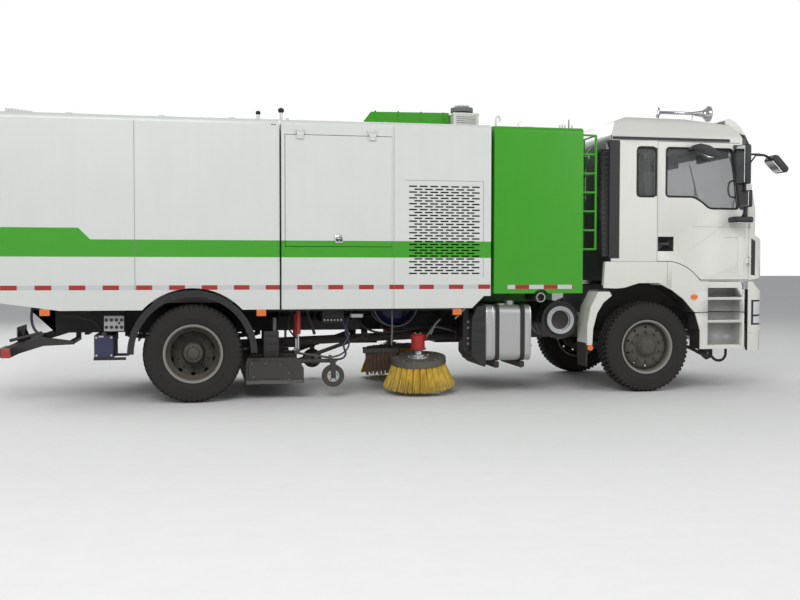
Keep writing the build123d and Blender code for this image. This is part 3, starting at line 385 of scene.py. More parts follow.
class Look:
    """Node tree of one finish."""

    def __init__(self, name):
        self.material = bpy.data.materials.new(name)
        self.material.use_nodes = True
        self.tree = self.material.node_tree
        self.tree.nodes.clear()
        self.coords = self.node("ShaderNodeTexCoord").outputs["Object"]
        split = self.node("ShaderNodeSeparateXYZ", inputs={0: self.coords})
        self.x = Number(self, split.outputs[0]) - REAR_X
        self.y = Number(self, split.outputs[1])
        self.z = Number(self, split.outputs[2])
        normal = self.node("ShaderNodeNewGeometry").outputs["Normal"]
        facing = self.node("ShaderNodeSeparateXYZ", inputs={0: normal})
        self.up = Number(self, facing.outputs[2])

    def node(self, kind, settings=None, inputs=None):
        """One node with its settings and inputs."""
        node = self.tree.nodes.new(kind)
        for key, value in (settings or {}).items():
            setattr(node, key, value)
        for key, value in (inputs or {}).items():
            if isinstance(value, Number):
                value = value.socket
            if isinstance(value, bpy.types.NodeSocket):
                self.tree.links.new(value, node.inputs[key])
            else:
                node.inputs[key].default_value = value
        return node

    def noise(self, scale, detail=4, rough=0.6, stretch=(1, 1, 1)):
        """Soft noise between 0 and 1, stretched along an axis."""
        place = self.node("ShaderNodeMapping", inputs={"Vector": self.coords, "Scale": stretch})
        node = self.node("ShaderNodeTexNoise", inputs={"Vector": place.outputs[0], "Scale": scale,
                                                       "Detail": detail, "Roughness": rough})
        return Number(self, node.outputs[0])

    def mix(self, share, first, second):
        """Colour between two colours."""
        node = self.node("ShaderNodeMix", {"data_type": "RGBA"}, {0: share, 6: first, 7: second})
        return node.outputs[2]

    def shade(self, **inputs):
        """Main shader with its inputs."""
        return self.node("ShaderNodeBsdfPrincipled", inputs=inputs)

    def bump(self, height, strength, distance=0.002):
        """Fine relief."""
        return self.node("ShaderNodeBump", inputs={"Height": height, "Strength": strength,
                                                   "Distance": distance}).outputs[0]

    def finish(self, shader):
        self.node("ShaderNodeOutputMaterial", inputs={0: shader.outputs[0]})
        return self.material


def rgba(colour):
    return (*colour, 1.0)


# Marks on the paint


def tape(look, colour, x_low, x_high, z_low, z_high, phase):
    """Reflective tape with red and silver dashes on both sides."""
    band = look.y.abs().above(1.244) * look.z.between(z_low, z_high) * look.x.between(x_low, x_high)
    dash = ((look.x + phase) / TAPE_PITCH).fraction()
    red = dash.between(0.0, 0.49, 0.01)
    settings = bpy.context.scene.sweeper
    strip = look.mix(red, (0.55, 0.56, 0.57, 1), rgba(settings.tape_red))
    return look.mix(band, colour, strip)


def body_marks(look, colour):
    """Green stripe with its raised rear end, and the tape below."""
    settings = bpy.context.scene.sweeper
    top = STRIPE_TOP + STRIPE_STEP * ((-1.0 - look.x) / STRIPE_STEP).clamp()
    stripe = look.y.abs().above(1.2) * look.z.above(STRIPE_LOW) * (top - look.z).above(0.0)
    colour = look.mix(stripe, colour, rgba(settings.green))
    return tape(look, colour, *BODY_TAPE)


def tank_marks(look, colour):
    """Short tape above the filling coupling."""
    return tape(look, colour, *TANK_TAPE)


def silencer_marks(look, colour):
    """Bright end disc with a darker middle on a black drum."""
    across, height = look.x - SILENCER[0], look.z - SILENCER[1]
    round_middle = across * across + height * height
    middle = 1 - round_middle.above(0.0115, 0.0004)
    drum = (1 - look.y.abs().above(1.1095, 0.001) + round_middle.above(0.0235, 0.0004)).clamp()
    return look.mix(drum, look.mix(middle, colour, (0.28, 0.29, 0.31, 1)), BLACK)


def cab_painted_shade(look, colour):
    """Painted shade: the cab's white rear wall and the corners under the sun visor are painted near black where
    shade falls.
    """
    # painted shade on the rear wall, which is really cab white
    rear = (1 - look.x.above(4.532)) * look.z.between(1.13, 2.86)
    # painted shadow under the rear edge of the sun visor
    corner = look.x.above(6.098, 0.001) * look.z.between(2.70, 2.93) * look.y.abs().above(1.02)
    # near-black colour of the painted shade
    return look.mix((rear + corner).clamp(), colour, (0.014, 0.014, 0.015, 1))


def fuel_marks(look, colour):
    """Dark cover on the rear end of the tank."""
    return look.mix(look.x.above(3.122, 0.001), BLACK, colour)


def motor_marks(look, colour):
    """Red motor standing on the brush."""
    near = (look.x - BRUSH[0]).abs()
    return look.mix((1 - near.above(0.105, 0.001)) * look.z.above(0.49, 0.001) * look.y.abs().above(0.79, 0.001)
                    * (1 - look.z.above(0.665, 0.001)), colour, (0.42, 0.012, 0.012, 1))


def coupling_marks(look, colour):
    """Light coupling plate on the dark unit."""
    face = 1 - look.y.above(-1.0995, 0.0005)
    return look.mix(face * look.x.between(-0.889, -0.689) * look.z.between(0.742, 0.901), colour,
                    (0.36, 0.37, 0.37, 1))


def door_marks(look, colour):
    """Dark pull recess."""
    recess = look.x.between(5.086, 5.278) * look.z.between(1.578, 1.744)
    recess = recess * (1 - look.y.abs().above(1.2495, 0.0005))
    return look.mix(recess, colour, (0.012, 0.012, 0.013, 1))


def rim_marks(look, colour):
    """Light outer lip on a rim that is darker inside."""
    height = look.z - AXLE_Z
    rear = look.x * look.x + height * height
    front = (look.x - FRONT_X) * (look.x - FRONT_X) + height * height
    inside = (2 - rear.above(0.0745, 0.0006) - front.above(0.0745, 0.0006)).clamp()
    return look.mix(inside, colour, (0.035, 0.031, 0.026, 1))


def step_marks(look, colour):
    """Grey step wells, and black inner sides behind the front wheels."""
    inner = (1 - look.x.above(5.626)) * (1 - look.y.abs().above(1.236, 0.001)) * (1 - look.z.above(1.20))
    colour = look.mix(inner, colour, (0.013, 0.013, 0.013, 1))
    well = look.x.between(5.695, 6.128) * (1 - look.y.abs().above(1.2, 0.001)) * (1 - look.z.above(1.17, 0.004))
    return look.mix(well, colour, (0.33, 0.34, 0.33, 1))


def visor_marks(look, colour):
    """Smoked lower edge."""
    return look.mix(look.z.above(2.925), (0.045, 0.046, 0.05, 1), colour)


def lamp_marks(look, colour):
    """Dark lamp frames with two light cells at the front, a black bar at the rear."""
    front = look.x.above(1.0)
    cells = (look.z.between(0.765, 0.842) + look.z.between(0.864, 1.010)) * look.x.above(6.262)
    cell = look.mix(cells.clamp(), (0.02, 0.02, 0.022, 1), colour)
    return look.mix(front, BLACK, cell)


def finish_table(settings):
    """Colour and wear of each finish: colour, roughness, metal, coat, dust, height that dust reaches, marks."""
    white, green = settings.body_white, settings.green
    return {
        "body_white": (white, 0.38, 0, 0.3, 0.16, 1.7, body_marks),
        # cab white, with painted shade on the rear wall and under the sun visor
        "cab_white": (settings.cab_white, 0.34, 0, 0.35, 0.12, 1.6, cab_painted_shade),
        "door_white": (settings.cab_white, 0.34, 0, 0.35, 0.12, 1.6, door_marks),
        "step_white": (settings.cab_white, 0.36, 0, 0.3, 0.22, 1.5, step_marks),
        "tank_green": (green, 0.30, 0, 0.25, 0.10, 1.9, tank_marks),
        "grass_green": (green, 0.32, 0, 0.25, 0.06, 1.0),
        "chassis_black": ((0.014, 0.014, 0.015), 0.55, 0, 0, 0.10, 1.4),
        "axle_black": ((0.020, 0.019, 0.018), 0.6, 0, 0, 0.25, 1.4),
        "cast": ((0.085, 0.083, 0.080), 0.55, 0.3, 0, 0.3, 1.5),
        "guard_black": ((0.013, 0.013, 0.014), 0.5, 0, 0, 0.10, 1.5),
        "trim_black": ((0.016, 0.016, 0.017), 0.45, 0, 0, 0.02, 1.6),
        "rubber": ((0.012, 0.012, 0.012), 0.7, 0, 0, 0.1, 1.5),
        # near black: painted shade for the inside of openings
        "painted_shade_black": ((0.004, 0.004, 0.004), 0.9, 0, 0, 0.02, 1.0),
        "seam": ((0.22, 0.22, 0.21), 0.6, 0, 0, 0.05, 1.5),
        "tank_aluminium": ((0.56, 0.57, 0.57), 0.36, 0.85, 0, 0.45, 0.95, fuel_marks),
        "silver": ((0.62, 0.62, 0.61), 0.38, 0.55, 0, 0.22, 1.2, silencer_marks),
        "bright_metal": ((0.60, 0.61, 0.61), 0.30, 0.9, 0, 0.15, 1.3),
        "blue_paint": ((0.008, 0.014, 0.070), 0.45, 0, 0.2, 0.12, 1.2),
        "unit_black": ((0.010, 0.011, 0.014), 0.5, 0, 0, 0.10, 1.2, coupling_marks),
        "blue_hose": ((0.012, 0.02, 0.065), 0.5, 0, 0, 0.25, 1.4),
        "grey_hose": ((0.16, 0.165, 0.17), 0.6, 0, 0, 0.25, 1.4),
        "arm_black": ((0.016, 0.016, 0.016), 0.5, 0, 0, 0.15, 1.2, motor_marks),
        "red_paint": ((0.40, 0.012, 0.012), 0.35, 0, 0.2, 0.25, 1.4),
        "rod_chrome": ((0.62, 0.63, 0.64), 0.16, 1, 0, 0.06, 1.2),
        "brass_ring": ((0.16, 0.15, 0.13), 0.4, 0.7, 0, 0.2, 1.2),
        "visor_white": (settings.cab_white, 0.35, 0, 0.3, 0.08, 1.2),
        "visor": (settings.cab_white, 0.35, 0, 0.3, 0.05, 1.2, visor_marks),
        "lamp": ((0.78, 0.79, 0.80), 0.12, 0.35, 0.8, 0.06, 1.2, lamp_marks),
        "amber": ((0.80, 0.17, 0.015), 0.22, 0, 0.6, 0.12, 1.4),
        "tail_red": ((0.42, 0.01, 0.01), 0.22, 0, 0.6, 0.15, 1.4),
        "mirror_glass": ((0.80, 0.82, 0.84), 0.04, 1, 0, 0.03, 1.0),
        "seat_grey": ((0.07, 0.07, 0.075), 0.85, 0, 0, 0.03, 1.0),
        "dash_grey": ((0.055, 0.055, 0.058), 0.65, 0, 0, 0.04, 1.0),
        "nozzle_black": ((0.022, 0.021, 0.020), 0.6, 0, 0, 0.18, 1.0),
        "flap_brown": ((0.030, 0.008, 0.007), 0.7, 0, 0, 0.12, 0.9),
        "rim_grey": ((0.046, 0.042, 0.037), 0.55, 0.1, 0, 0.24, 2.0),
        "rim_light": ((0.26, 0.25, 0.235), 0.5, 0.2, 0, 0.25, 2.0, rim_marks),
        "hub_dark": ((0.035, 0.033, 0.030), 0.6, 0.1, 0, 0.30, 2.0),
        "tyre_black": ((0.011, 0.0105, 0.010), 0.85, 0, 0, 0.05, 2.0),
        "caster_rubber": ((0.020, 0.019, 0.018), 0.75, 0, 0, 0.3, 1.0),
        "white_plastic": ((0.72, 0.72, 0.70), 0.4, 0, 0, 0.12, 3.0),
        "tread_white": ((0.62, 0.62, 0.60), 0.45, 0, 0.1, 0.25, 1.4),
    }


MATERIALS = {}


def material(name):
    """Material of a finish, made once."""
    if name in MATERIALS:
        return MATERIALS[name]
    settings = bpy.context.scene.sweeper
    if name == "glass":
        made = glass(settings)
    elif name == "bristle":
        made = bristle(settings)
    else:
        made = painted(name, settings, *finish_table(settings)[name])
    MATERIALS[name] = made
    return made


def painted(name, settings, colour, rough, metal, coat, dust, reach, marks=None):
    """Finish with paint wear, road dust that thins out upwards, streaks, and fine relief."""
    look = Look(name)
    cloud = look.noise(1.7, 5, 0.62)
    fine = look.noise(38, 3, 0.7)
    streak = look.noise(2.2, 4, 0.6, (5, 5, 0.35))
    tone = look.mix(cloud * 0.5 + streak * 0.35, rgba([c * 0.90 for c in colour]),
                    rgba([min(1, c * 1.07) for c in colour]))
    if marks:
        tone = marks(look, tone)
    low = ((reach - look.z) / reach).clamp()
    film = low * (0.25 + cloud * 0.9 + streak * 0.45) * (0.6 + fine * 0.6)
    settled = look.up.clamp() * (0.25 + cloud * 0.5) * (1 if dust > 0.2 else 0.3)
    cover = ((film + settled) * (dust * settings.dust)).clamp()
    tone = look.mix(cover, tone, rgba(settings.dust_colour))
    spread = (rough + (cloud - 0.5) * 0.14 + cover * 0.45).clamp()
    relief = look.bump(look.noise(130, 2, 0.5) + fine * 0.5, 0.12 if rough < 0.5 else 0.3, 0.0012)
    shader = look.shade(**{"Base Color": tone, "Roughness": spread, "Metallic": (1 - cover) * metal,
                           "Coat Weight": (1 - cover) * coat, "Normal": relief})
    shader.inputs["Coat Roughness"].default_value = 0.12
    return look.finish(shader)


def bristle(settings):
    """Stiff plastic bristle, bright at the root, worn and dusty at the tip."""
    look = Look("bristle")
    clump = look.noise(26, 3, 0.6, (1, 1, 0.25))
    fine = look.noise(160, 2, 0.6, (1, 1, 0.1))
    colour = rgba(settings.bristle)
    dark = rgba([c * 0.30 for c in settings.bristle])
    tone = look.mix((clump * 1.7 - 0.35).clamp(), dark, colour)
    tone = look.mix((fine - 0.45).clamp(), tone, rgba([min(1, c * 1.5) for c in settings.bristle]))
    worn = ((0.20 - look.z) / 0.3).clamp() * (0.2 + clump * 0.4) * settings.dust
    tone = look.mix(worn, tone, rgba(settings.dust_colour))
    shader = look.shade(**{"Base Color": tone, "Roughness": (0.45 + fine * 0.3).clamp(),
                           "Normal": look.bump(fine, 0.4)})
    return look.finish(shader)


def glass(settings):
    """Thin tinted window that shows the sky and a little road dust."""
    look = Look("glass")
    haze = look.noise(2.5, 4, 0.6)
    tint = rgba([1 - settings.window_tint] * 3)
    through = look.node("ShaderNodeBsdfTransparent", inputs={"Color": tint})
    gloss = look.shade(**{"Base Color": look.mix(haze, (0.50, 0.53, 0.55, 1), (0.60, 0.62, 0.63, 1)),
                          "Roughness": (0.03 + haze * 0.04).clamp(),
                          "Normal": look.bump(look.noise(0.8, 1), 0.03)})
    edge = look.node("ShaderNodeFresnel", inputs={"IOR": 1.5})
    share = (Number(look, edge.outputs[0]) * 0.6 + 0.03 + haze * 0.06).clamp()
    return look.finish(look.node("ShaderNodeMixShader", inputs={0: share, 1: through.outputs[0],
                                                                2: gloss.outputs[0]}))


# Finishes of the CAD nodes


NODES_OF = {
    "chassis_black": "frame underrun_guard",
    "axle_black": "front_axle rear_axle knuckle_right knuckle_left",
    "cast": "drivetrain",
    "tank_aluminium": "fuel_tank",
    "silver": "silencer",
    "guard_black": "battery_case rear_mudguards",
    "unit_black": "hydraulic_unit",
    "cab_white": "front_mudguards cab_shell",
    "step_white": "bumper cab_fenders",
    "lamp": "lamps",
    "tank_green": "water_tank",
    "brass_ring": "water_inlet",
    "body_white": "equipment_housing dust_box rear_door service_door_right service_door_left",
    "grass_green": "roof_duct",
    "visor_white": "air_cleaner",
    "red_paint": "lift_barrels hoist_barrel",
    "rod_chrome": "hoist_rod horn lift_rods",
    "glass": "cab_glass door_right_glass door_left_glass",
    "trim_black": "cab_trim steering_wheel mirrors_right mirrors_left",
    "visor": "sun_visor",
    "dash_grey": "cab_interior",
    "door_white": "door_right door_left",
    "arm_black": "brush_arm_right brush_arm_left",
    "nozzle_black": "nozzle",
    "caster_rubber": "nozzle_wheel_right nozzle_wheel_left",
}
NODE_FINISH = {node: finish for finish, nodes in NODES_OF.items() for node in nodes.split()}


class SWEEPER_OT_paint(bpy.types.Operator):
    """Gives every CAD node its paint, metal, rubber or glass"""

    bl_idname = "sweeper.paint"
    bl_label = "Paint the CAD nodes"

    def execute(self, context):
        for name, finish in NODE_FINISH.items():
            mesh = frame["nodes"][name].data
            mesh.materials.clear()
            mesh.materials.append(material(finish))
        return {"FINISHED"}


# Nose, steps and tail drawn to their real lines


def shift_at(place, knots):
    """Shift at a place, between (place, shift) knots."""
    if place <= knots[0][0]:
        return knots[0][1]
    for (a, p), (b, q) in zip(knots, knots[1:]):
        if place <= b:
            return p + (q - p) * (place - a) / (b - a)
    return knots[-1][1]


def part_way(value, start, length):
    """0 before a start, 1 after a length from there."""
    return max(0.0, min(1.0, (value - start) / length))


def nose_line(x, y, z):
    """Cab and doors: shorter nose, corners of the upper front rounded in plan."""
    if 6.34 < x < 6.39 and 0.455 < abs(y) < 0.505 and z < 1.29:
        return x, y, z  # the tilting eyes stay on their pins
    back = shift_at(x, ((5.90, 0), (6.00, 0.022), (6.098, 0.038), (6.19, 0.050), (6.25, 0.066), (6.27, 0.071),
                        (6.37, 0.054), (6.39, 0.055), (6.465, 0.063)))
    across = max(0.0, min(abs(y) - HALF_WIDTH + CAB_CORNER, CAB_CORNER))
    corner = CAB_CORNER - math.sqrt(CAB_CORNER**2 - across**2)
    corner *= part_way(x, 6.28, 0.11) * part_way(z, 1.70, 0.07)
    return x - back - corner, y, z + (0.015 if x > 6.44 and z < 1.30 else 0)


def bumper_line(x, y, z):
    """Bumper, lamps and lower steps."""
    out = x - shift_at(x, ((5.70, 0), (5.72, 0.020), (6.16, 0.037), (6.225, 0.075), (6.245, 0.054),
                           (6.30, 0.065), (6.38, 0.072), (6.44, 0.066), (6.475, 0.081)))
    if x < 6.235:
        return out, y, z - shift_at(z, ((0.78, 0), (0.79, 0.014), (0.815, 0.014), (0.83, 0)))
    out = 6.191 + (out - 6.191) * (1 - 0.48 * part_way(z, 1.16, 0.055))
    return out, y, z + shift_at(z, ((0.70, 0), (0.735, 0.010), (1.0, 0.030), (1.04, 0.005), (1.11, -0.058),
                                    (1.16, -0.028), (1.215, 0.025)))


def fender_line(x, y, z):
    """Upper steps behind the front wheels' guards."""
    if x < 5.62:
        return x, y, z
    out = x - shift_at(x, ((5.62, 0), (5.722, 0.022), (6.15, 0.027), (6.22, 0.070)))
    if x > 6.17:
        out -= 0.046 * part_way(z, 1.15, 0.094)
    return out, y, z + shift_at(z, ((0.90, 0), (0.99, 0.044), (1.015, 0.044), (1.15, 0)))


def frame_line(x, y, z):
    """Rails that end under the box, towing ears further back."""
    if x < -1.75 and z < RAIL_TOP + 0.001:
        return x + 0.45, y, z
    if x > 6.05 and (z < 0.655 or (z < RAIL_LOW + 0.001 and x < 6.27)):
        return x - 0.20, y, z
    return min(x, 6.385), y, z


def guard_line(x, y, z):
    """Underrun beam carried by its struts alone."""
    return x, y, min(z, 0.593) if x < -1.7 else z


def horn_line(x, y, z):
    """Roof horn set lower and shorter."""
    return x - 0.025 * part_way(x, 5.85, 0.05), y, z - 0.018 * part_way(z, 3.11, 0.03)


def dash_line(x, y, z):
    """Dash behind the shorter nose, and room for the turning shaft in the steering column."""
    away = Vector((x, y, z)) - STEERING
    out = away - STEERING_WAY * away.dot(STEERING_WAY)
    if x < 6.02 and out.length < 0.022:
        return Vector((x, y, z)) + out * 0.25
    return x - shift_at(x, ((6.25, 0), (6.335, 0.050))), y, z


CORNER_CUTS = tuple(("y", side * place) for side in (-1, 1) for place in (1.10, 1.15, 1.19, 1.215))
FITTED = {
    "frame": (frame_line, ()), "underrun_guard": (guard_line, ()), "bumper": (bumper_line, (("z", 1.16),)),
    "lamps": (bumper_line, ()), "cab_shell": (nose_line, CORNER_CUTS), "cab_glass": (nose_line, ()),
    "cab_trim": (nose_line, ()), "cab_interior": (dash_line, ()), "cab_fenders": (fender_line, (("z", 1.15),)),
    "horn": (horn_line, ()), "door_right": (nose_line, ()), "door_left": (nose_line, ()),
    "door_right_glass": (nose_line, ()), "door_left_glass": (nose_line, ()),
}
VISOR = [(5.977, 3.088), (6.038, 3.101), (6.108, 3.064), (6.170, 3.010), (6.245, 2.898), (6.309, 2.770),
         (6.295, 2.765), (6.231, 2.892), (6.158, 3.000), (6.100, 3.050), (6.036, 3.087), (5.977, 3.074)]
VISOR_ARM = [(5.980, 3.084), (6.038, 3.096), (6.104, 3.060), (6.165, 3.005), (6.236, 2.895), (6.124, 2.899),
             (6.010, 3.030), (5.985, 3.033)]
FRONT_MIRROR = [(6.500, 2.630), (6.535, 2.692), (6.580, 2.682), (6.715, 2.540), (6.692, 2.490), (6.640, 2.492)]
KERB_MIRROR = [(5.397, 2.700), (5.480, 2.770), (5.612, 2.744), (5.758, 2.650), (5.740, 2.612), (5.600, 2.625)]
DOOR_MIRRORS = (
    ((5.984, 6.062), (1.33, 1.52), (2.324, 2.765), 0.022),
    ((6.036, 6.083), (1.33, 1.52), (2.070, 2.258), 0.016),
    ((5.900, 6.122), (1.30, 1.48), (1.900, 1.966), 0.020),
    ((6.036, 6.060), (1.38, 1.42), (2.250, 2.330), 0.003),
    ((6.050, 6.080), (1.38, 1.42), (1.960, 2.076), 0.003),
    ((6.000, 6.040), (1.24, 1.34), (2.700, 2.730), 0.003),
    ((6.060, 6.100), (1.24, 1.31), (1.925, 1.955), 0.003),
)


class SWEEPER_OT_fitted(bpy.types.Operator):
    """Draws the cab's nose, doors, bumper, steps and the frame's ends to their real lines"""

    bl_idname = "sweeper.fitted"
    bl_label = "Nose, steps and tail"

    def execute(self, context):
        for name, (line, cuts) in FITTED.items():
            part = bmesh.new()
            part.from_mesh(frame["nodes"][name].data)
            bmesh.ops.remove_doubles(part, verts=part.verts, dist=1e-5)
            bmesh.ops.translate(part, verts=part.verts, vec=(-REAR_X, 0, 0))
            for axis, place in cuts:
                flat = Vector((axis == "x", axis == "y", axis == "z"))
                bmesh.ops.bisect_plane(part, geom=part.verts[:] + part.edges[:] + part.faces[:],
                                       plane_co=flat * place, plane_no=flat)
            for point in part.verts:
                point.co = line(*point.co)
            shape = Shape()
            if name == "cab_trim":
                old = [v for v in part.verts if v.co.x > 6.16 and v.co.z > 2.4 and v.co.y < -0.9]
                bmesh.ops.delete(part, geom=old, context="VERTS")
                shape.add(hose([(6.189, -1.17, 2.690), (6.44, -1.15, 2.682), (6.54, -1.12, 2.640)], 0.012),
                          "trim_black")
                shape.add(rod((6.222, -1.17, 2.56), (6.32, -1.16, 2.68), 0.009, sides=12), "trim_black")
                shape.add(plate(eased(FRONT_MIRROR, 0.02), (-1.215, -1.02), edge=0.014, segments=3),
                          "trim_black")
            if name == "cab_fenders":
                cap = [(5.69, 1.168), (6.060, 1.168), (6.119, 1.075), (6.130, 1.075), (6.130, 1.180),
                       (6.102, 1.240), (5.69, 1.240)]
                shape.add(plate(cap, (-1.249, -1.05), edge=0.002), "step_white", both=True)
            shape.add(part, NODE_FINISH[name])
            shape.stand_for(name)

        visor = Shape()
        visor.add(plate(VISOR, (-1.08, 1.08), edge=0.003), "visor")
        for y in (-1.07, 0.0, 1.07):
            visor.add(plate(VISOR_ARM, span(y, 0.0101), edge=0.002), "visor")
        visor.stand_for("sun_visor")
        for side, place in SIDES:
            mirrors = Shape()
            for x, y, z, edge in DOOR_MIRRORS:
                mirrors.add(block(x, (side * y[0], side * y[1]), z, edge, 3), "trim_black")
            if side < 0:
                mirrors.add(plate(eased(KERB_MIRROR, 0.03), (-1.44, -1.29), edge=0.012, segments=3),
                            "trim_black")
                mirrors.add(block((5.50, 5.54), (-1.30, -1.24), (2.735, 2.765), 0.004), "trim_black")
            mirrors.stand_for("mirrors_" + place)
        return {"FINISHED"}


# Tyres and wheels


TYRE = [(-0.108, 0.286), (-0.113, 0.308), (-0.124, 0.322), (-0.131, 0.346), (-0.1345, 0.366), (-0.1375, 0.369),
        (-0.1375, 0.377), (-0.1355, 0.381), (-0.137, 0.40), (-0.1355, 0.428), (-0.1315, 0.452), (-0.126, 0.468),
        (-0.119, 0.481), (-0.095, 0.488)]


class SWEEPER_OT_tyres(bpy.types.Operator):
    """Makes the tyres with block tread and raised sidewall rings"""

    bl_idname = "sweeper.tyres"
    bl_label = "Tyres"

    def execute(self, context):
        settings = context.scene.sweeper
        rows = ((0, 0.021, 0.0), (0.049, 0.021, 0.5), (-0.049, 0.021, 0.5))
        for side, place in SIDES:
            for name, x, widths in (("front_tyre_", FRONT_X, (FRONT_TRACK,)),
                                    ("rear_tyres_", 0.0, REAR_TRACKS)):
                tyre = Shape()
                for width in widths:
                    centre = Vector((x, side * width, AXLE_Z))
                    tyre.add(turned(TYRE + [(-w, r) for w, r in reversed(TYRE)], centre, steps=72),
                             "tyre_black")
                    step = math.tau / settings.lug_count
                    for middle, half, shift in rows:
                        lug = block((-0.019, 0.019), span(middle, half),
                                    (AXLE_Z - settings.lug_height, AXLE_Z), 0.0025)
                        lug = moved(lug, Matrix.Translation(centre) @ Matrix.Rotation(shift * step, 4, "Y"))
                        tyre.add(around(lug, centre, (0, 1, 0), settings.lug_count), "tyre_black")
                    for way in (-1, 1):
                        lug = plate([(way * 0.077, 0.484), (way * 0.077, 0.504), (way * 0.104, 0.502),
                                     (way * 0.1215, 0.4915), (way * 0.1305, 0.462), (way * 0.127, 0.456),
                                     (way * 0.117, 0.478)], (-0.0145, 0.0145), "x", 0.0025)
                        lug = moved(lug, Matrix.Translation(centre)
                                    @ Matrix.Rotation((0.25 * way) * step, 4, "Y"))
                        tyre.add(around(lug, centre, (0, 1, 0), settings.lug_count), "tyre_black")
                tyre.stand_for(name + place)
        return {"FINISHED"}


RIM = [(-0.122, 0.303), (-0.1175, 0.3035), (-0.1145, 0.298), (-0.110, 0.285), (-0.06, 0.279), (-0.045, 0.268),
       (0.045, 0.268), (0.06, 0.279), (0.110, 0.285), (0.1145, 0.298), (0.1175, 0.3035), (0.122, 0.303),
       (0.122, 0.294), (0.117, 0.284), (0.104, 0.277), (0.064, 0.272), (0.05, 0.260), (-0.05, 0.260),
       (-0.064, 0.272), (-0.104, 0.277), (-0.117, 0.284), (-0.122, 0.294)]
REAR_DISHES = ([(0.815, 0.262), (0.84, 0.252), (0.90, 0.222), (0.921, 0.196), (0.925, 0.118)],
               [(1.048, 0.262), (1.015, 0.252), (0.962, 0.222), (0.942, 0.196), (0.938, 0.118)])


def wheel_disc(profile, hole_radius, hole_size, holes=10, thickness=0.010, steps=120):
    """Dished disc about the cross axis with hand holes cut through it."""
    part = turned(profile, steps=steps, ring=False)
    cut = []
    for face in part.faces:
        middle = face.calc_center_median()
        radius = math.hypot(middle.x, middle.z)
        turn = (math.atan2(middle.z, middle.x) * holes / math.tau) % 1.0 - 0.5
        across = turn * math.tau * radius / holes / hole_size[0]
        if across**2 + ((radius - hole_radius) / hole_size[1]) ** 2 < 1:
            cut.append(face)
    bmesh.ops.delete(part, geom=cut, context="FACES")
    bmesh.ops.recalc_face_normals(part, faces=part.faces)
    bmesh.ops.solidify(part, geom=part.faces[:], thickness=thickness)
    return part


def spaced(points, gap):
    """Profile with extra points so that no step is longer than a gap."""
    out = [points[0]]
    for a, b in zip(points, points[1:]):
        count = max(1, round(math.dist(a, b) / gap))
        out += [tuple(p + (q - p) * k / count for p, q in zip(a, b)) for k in range(1, count + 1)]
    return out


class SWEEPER_OT_wheels(bpy.types.Operator):
    """Makes the steel wheels with hand holes, nuts and hubs"""

    bl_idname = "sweeper.wheels"
    bl_label = "Wheels"

    def execute(self, context):
        for side, place in SIDES:
            front = Shape()
            hub = Vector((FRONT_X, side * FRONT_TRACK, AXLE_Z))
            out = Vector((0, side, 0))

            def at(profile):
                return [(side * w, r) for w, r in profile]

            front.add(turned(at(RIM), hub, steps=64), "rim_light")
            dish = spaced([(0.024, 0.262), (0.040, 0.258), (0.066, 0.232), (0.082, 0.206), (0.090, 0.190),
                           (0.090, 0.118)], 0.009)
            front.add(moved(wheel_disc(at(dish), 0.222, (0.017, 0.014)), Matrix.Translation(hub)), "rim_grey")
            front.add(turned(at([(0.070, 0.125), (0.098, 0.125), (0.101, 0.121), (0.101, 0.112), (0.112, 0.108),
                                 (0.128, 0.099), (0.140, 0.082), (0.150, 0.076), (0.153, 0.068), (0.153, 0.0),
                                 (0.070, 0.0)]), hub), "hub_dark")
            self.nuts(front, hub, out, 0.092, 0.1675, 10, 0.0165, "rim_grey")
            self.nuts(front, hub, out, 0.128, 0.088, 6, 0.007, "hub_dark")
            front.add(turned(at([(-0.045, 0.0505), (-0.045, 0.205), (0.055, 0.205), (0.055, 0.12), (0.07, 0.12),
                                 (0.07, 0.0505)]), hub), "hub_dark")
            front.stand_for("front_wheel_" + place)

            rear = Shape()
            for width, dish in zip(REAR_TRACKS, REAR_DISHES):
                rear.add(turned(at(RIM), (0, side * width, AXLE_Z), steps=64), "rim_light")
                rear.add(moved(wheel_disc(at(spaced(dish, 0.009)), 0.226, (0.024, 0.017)),
                               Matrix.Translation((0, 0, AXLE_Z))), "rim_grey")
            rear.add(turned(at([(1.070, 0.2855), (1.194, 0.2865), (1.190, 0.277), (1.150, 0.262),
                                (1.128, 0.236), (1.118, 0.229), (1.112, 0.229), (1.120, 0.250),
                                (1.070, 0.262)]), (0, 0, AXLE_Z), steps=64), "rim_light")
            axle = Vector((0, 0, AXLE_Z))
            rear.add(turned(at([(0.87, 0.0505), (0.87, 0.200), (0.905, 0.200), (0.905, 0.124), (0.945, 0.122),
                                (1.02, 0.116), (1.09, 0.104), (1.118, 0.098), (1.124, 0.090), (1.127, 0.062),
                                (1.150, 0.055), (1.155, 0.045), (1.155, 0.0), (1.1505, 0.0)]), axle),
                     "hub_dark")
            self.nuts(rear, axle, out, 0.948, 0.1675, 10, 0.0165, "rim_grey")
            self.nuts(rear, axle, out, 1.124, 0.076, 10, 0.008, "hub_dark")
            rear.stand_for("rear_wheels_" + place)
        return {"FINISHED"}

    @staticmethod
    def nuts(shape, hub, out, width, radius, count, size, finish):
        """Ring of nuts on studs."""
        foot = hub + out * width + Vector((0, 0, radius))
        shape.add(around(rod(foot, foot + out * size * 1.4, size, size * 0.92, 6, 0.001), hub, out, count),
                  finish)
        shape.add(around(rod(foot, foot + out * size * 2.1, size * 0.55, sides=8), hub, out, count), finish)


# Brushes and nozzle


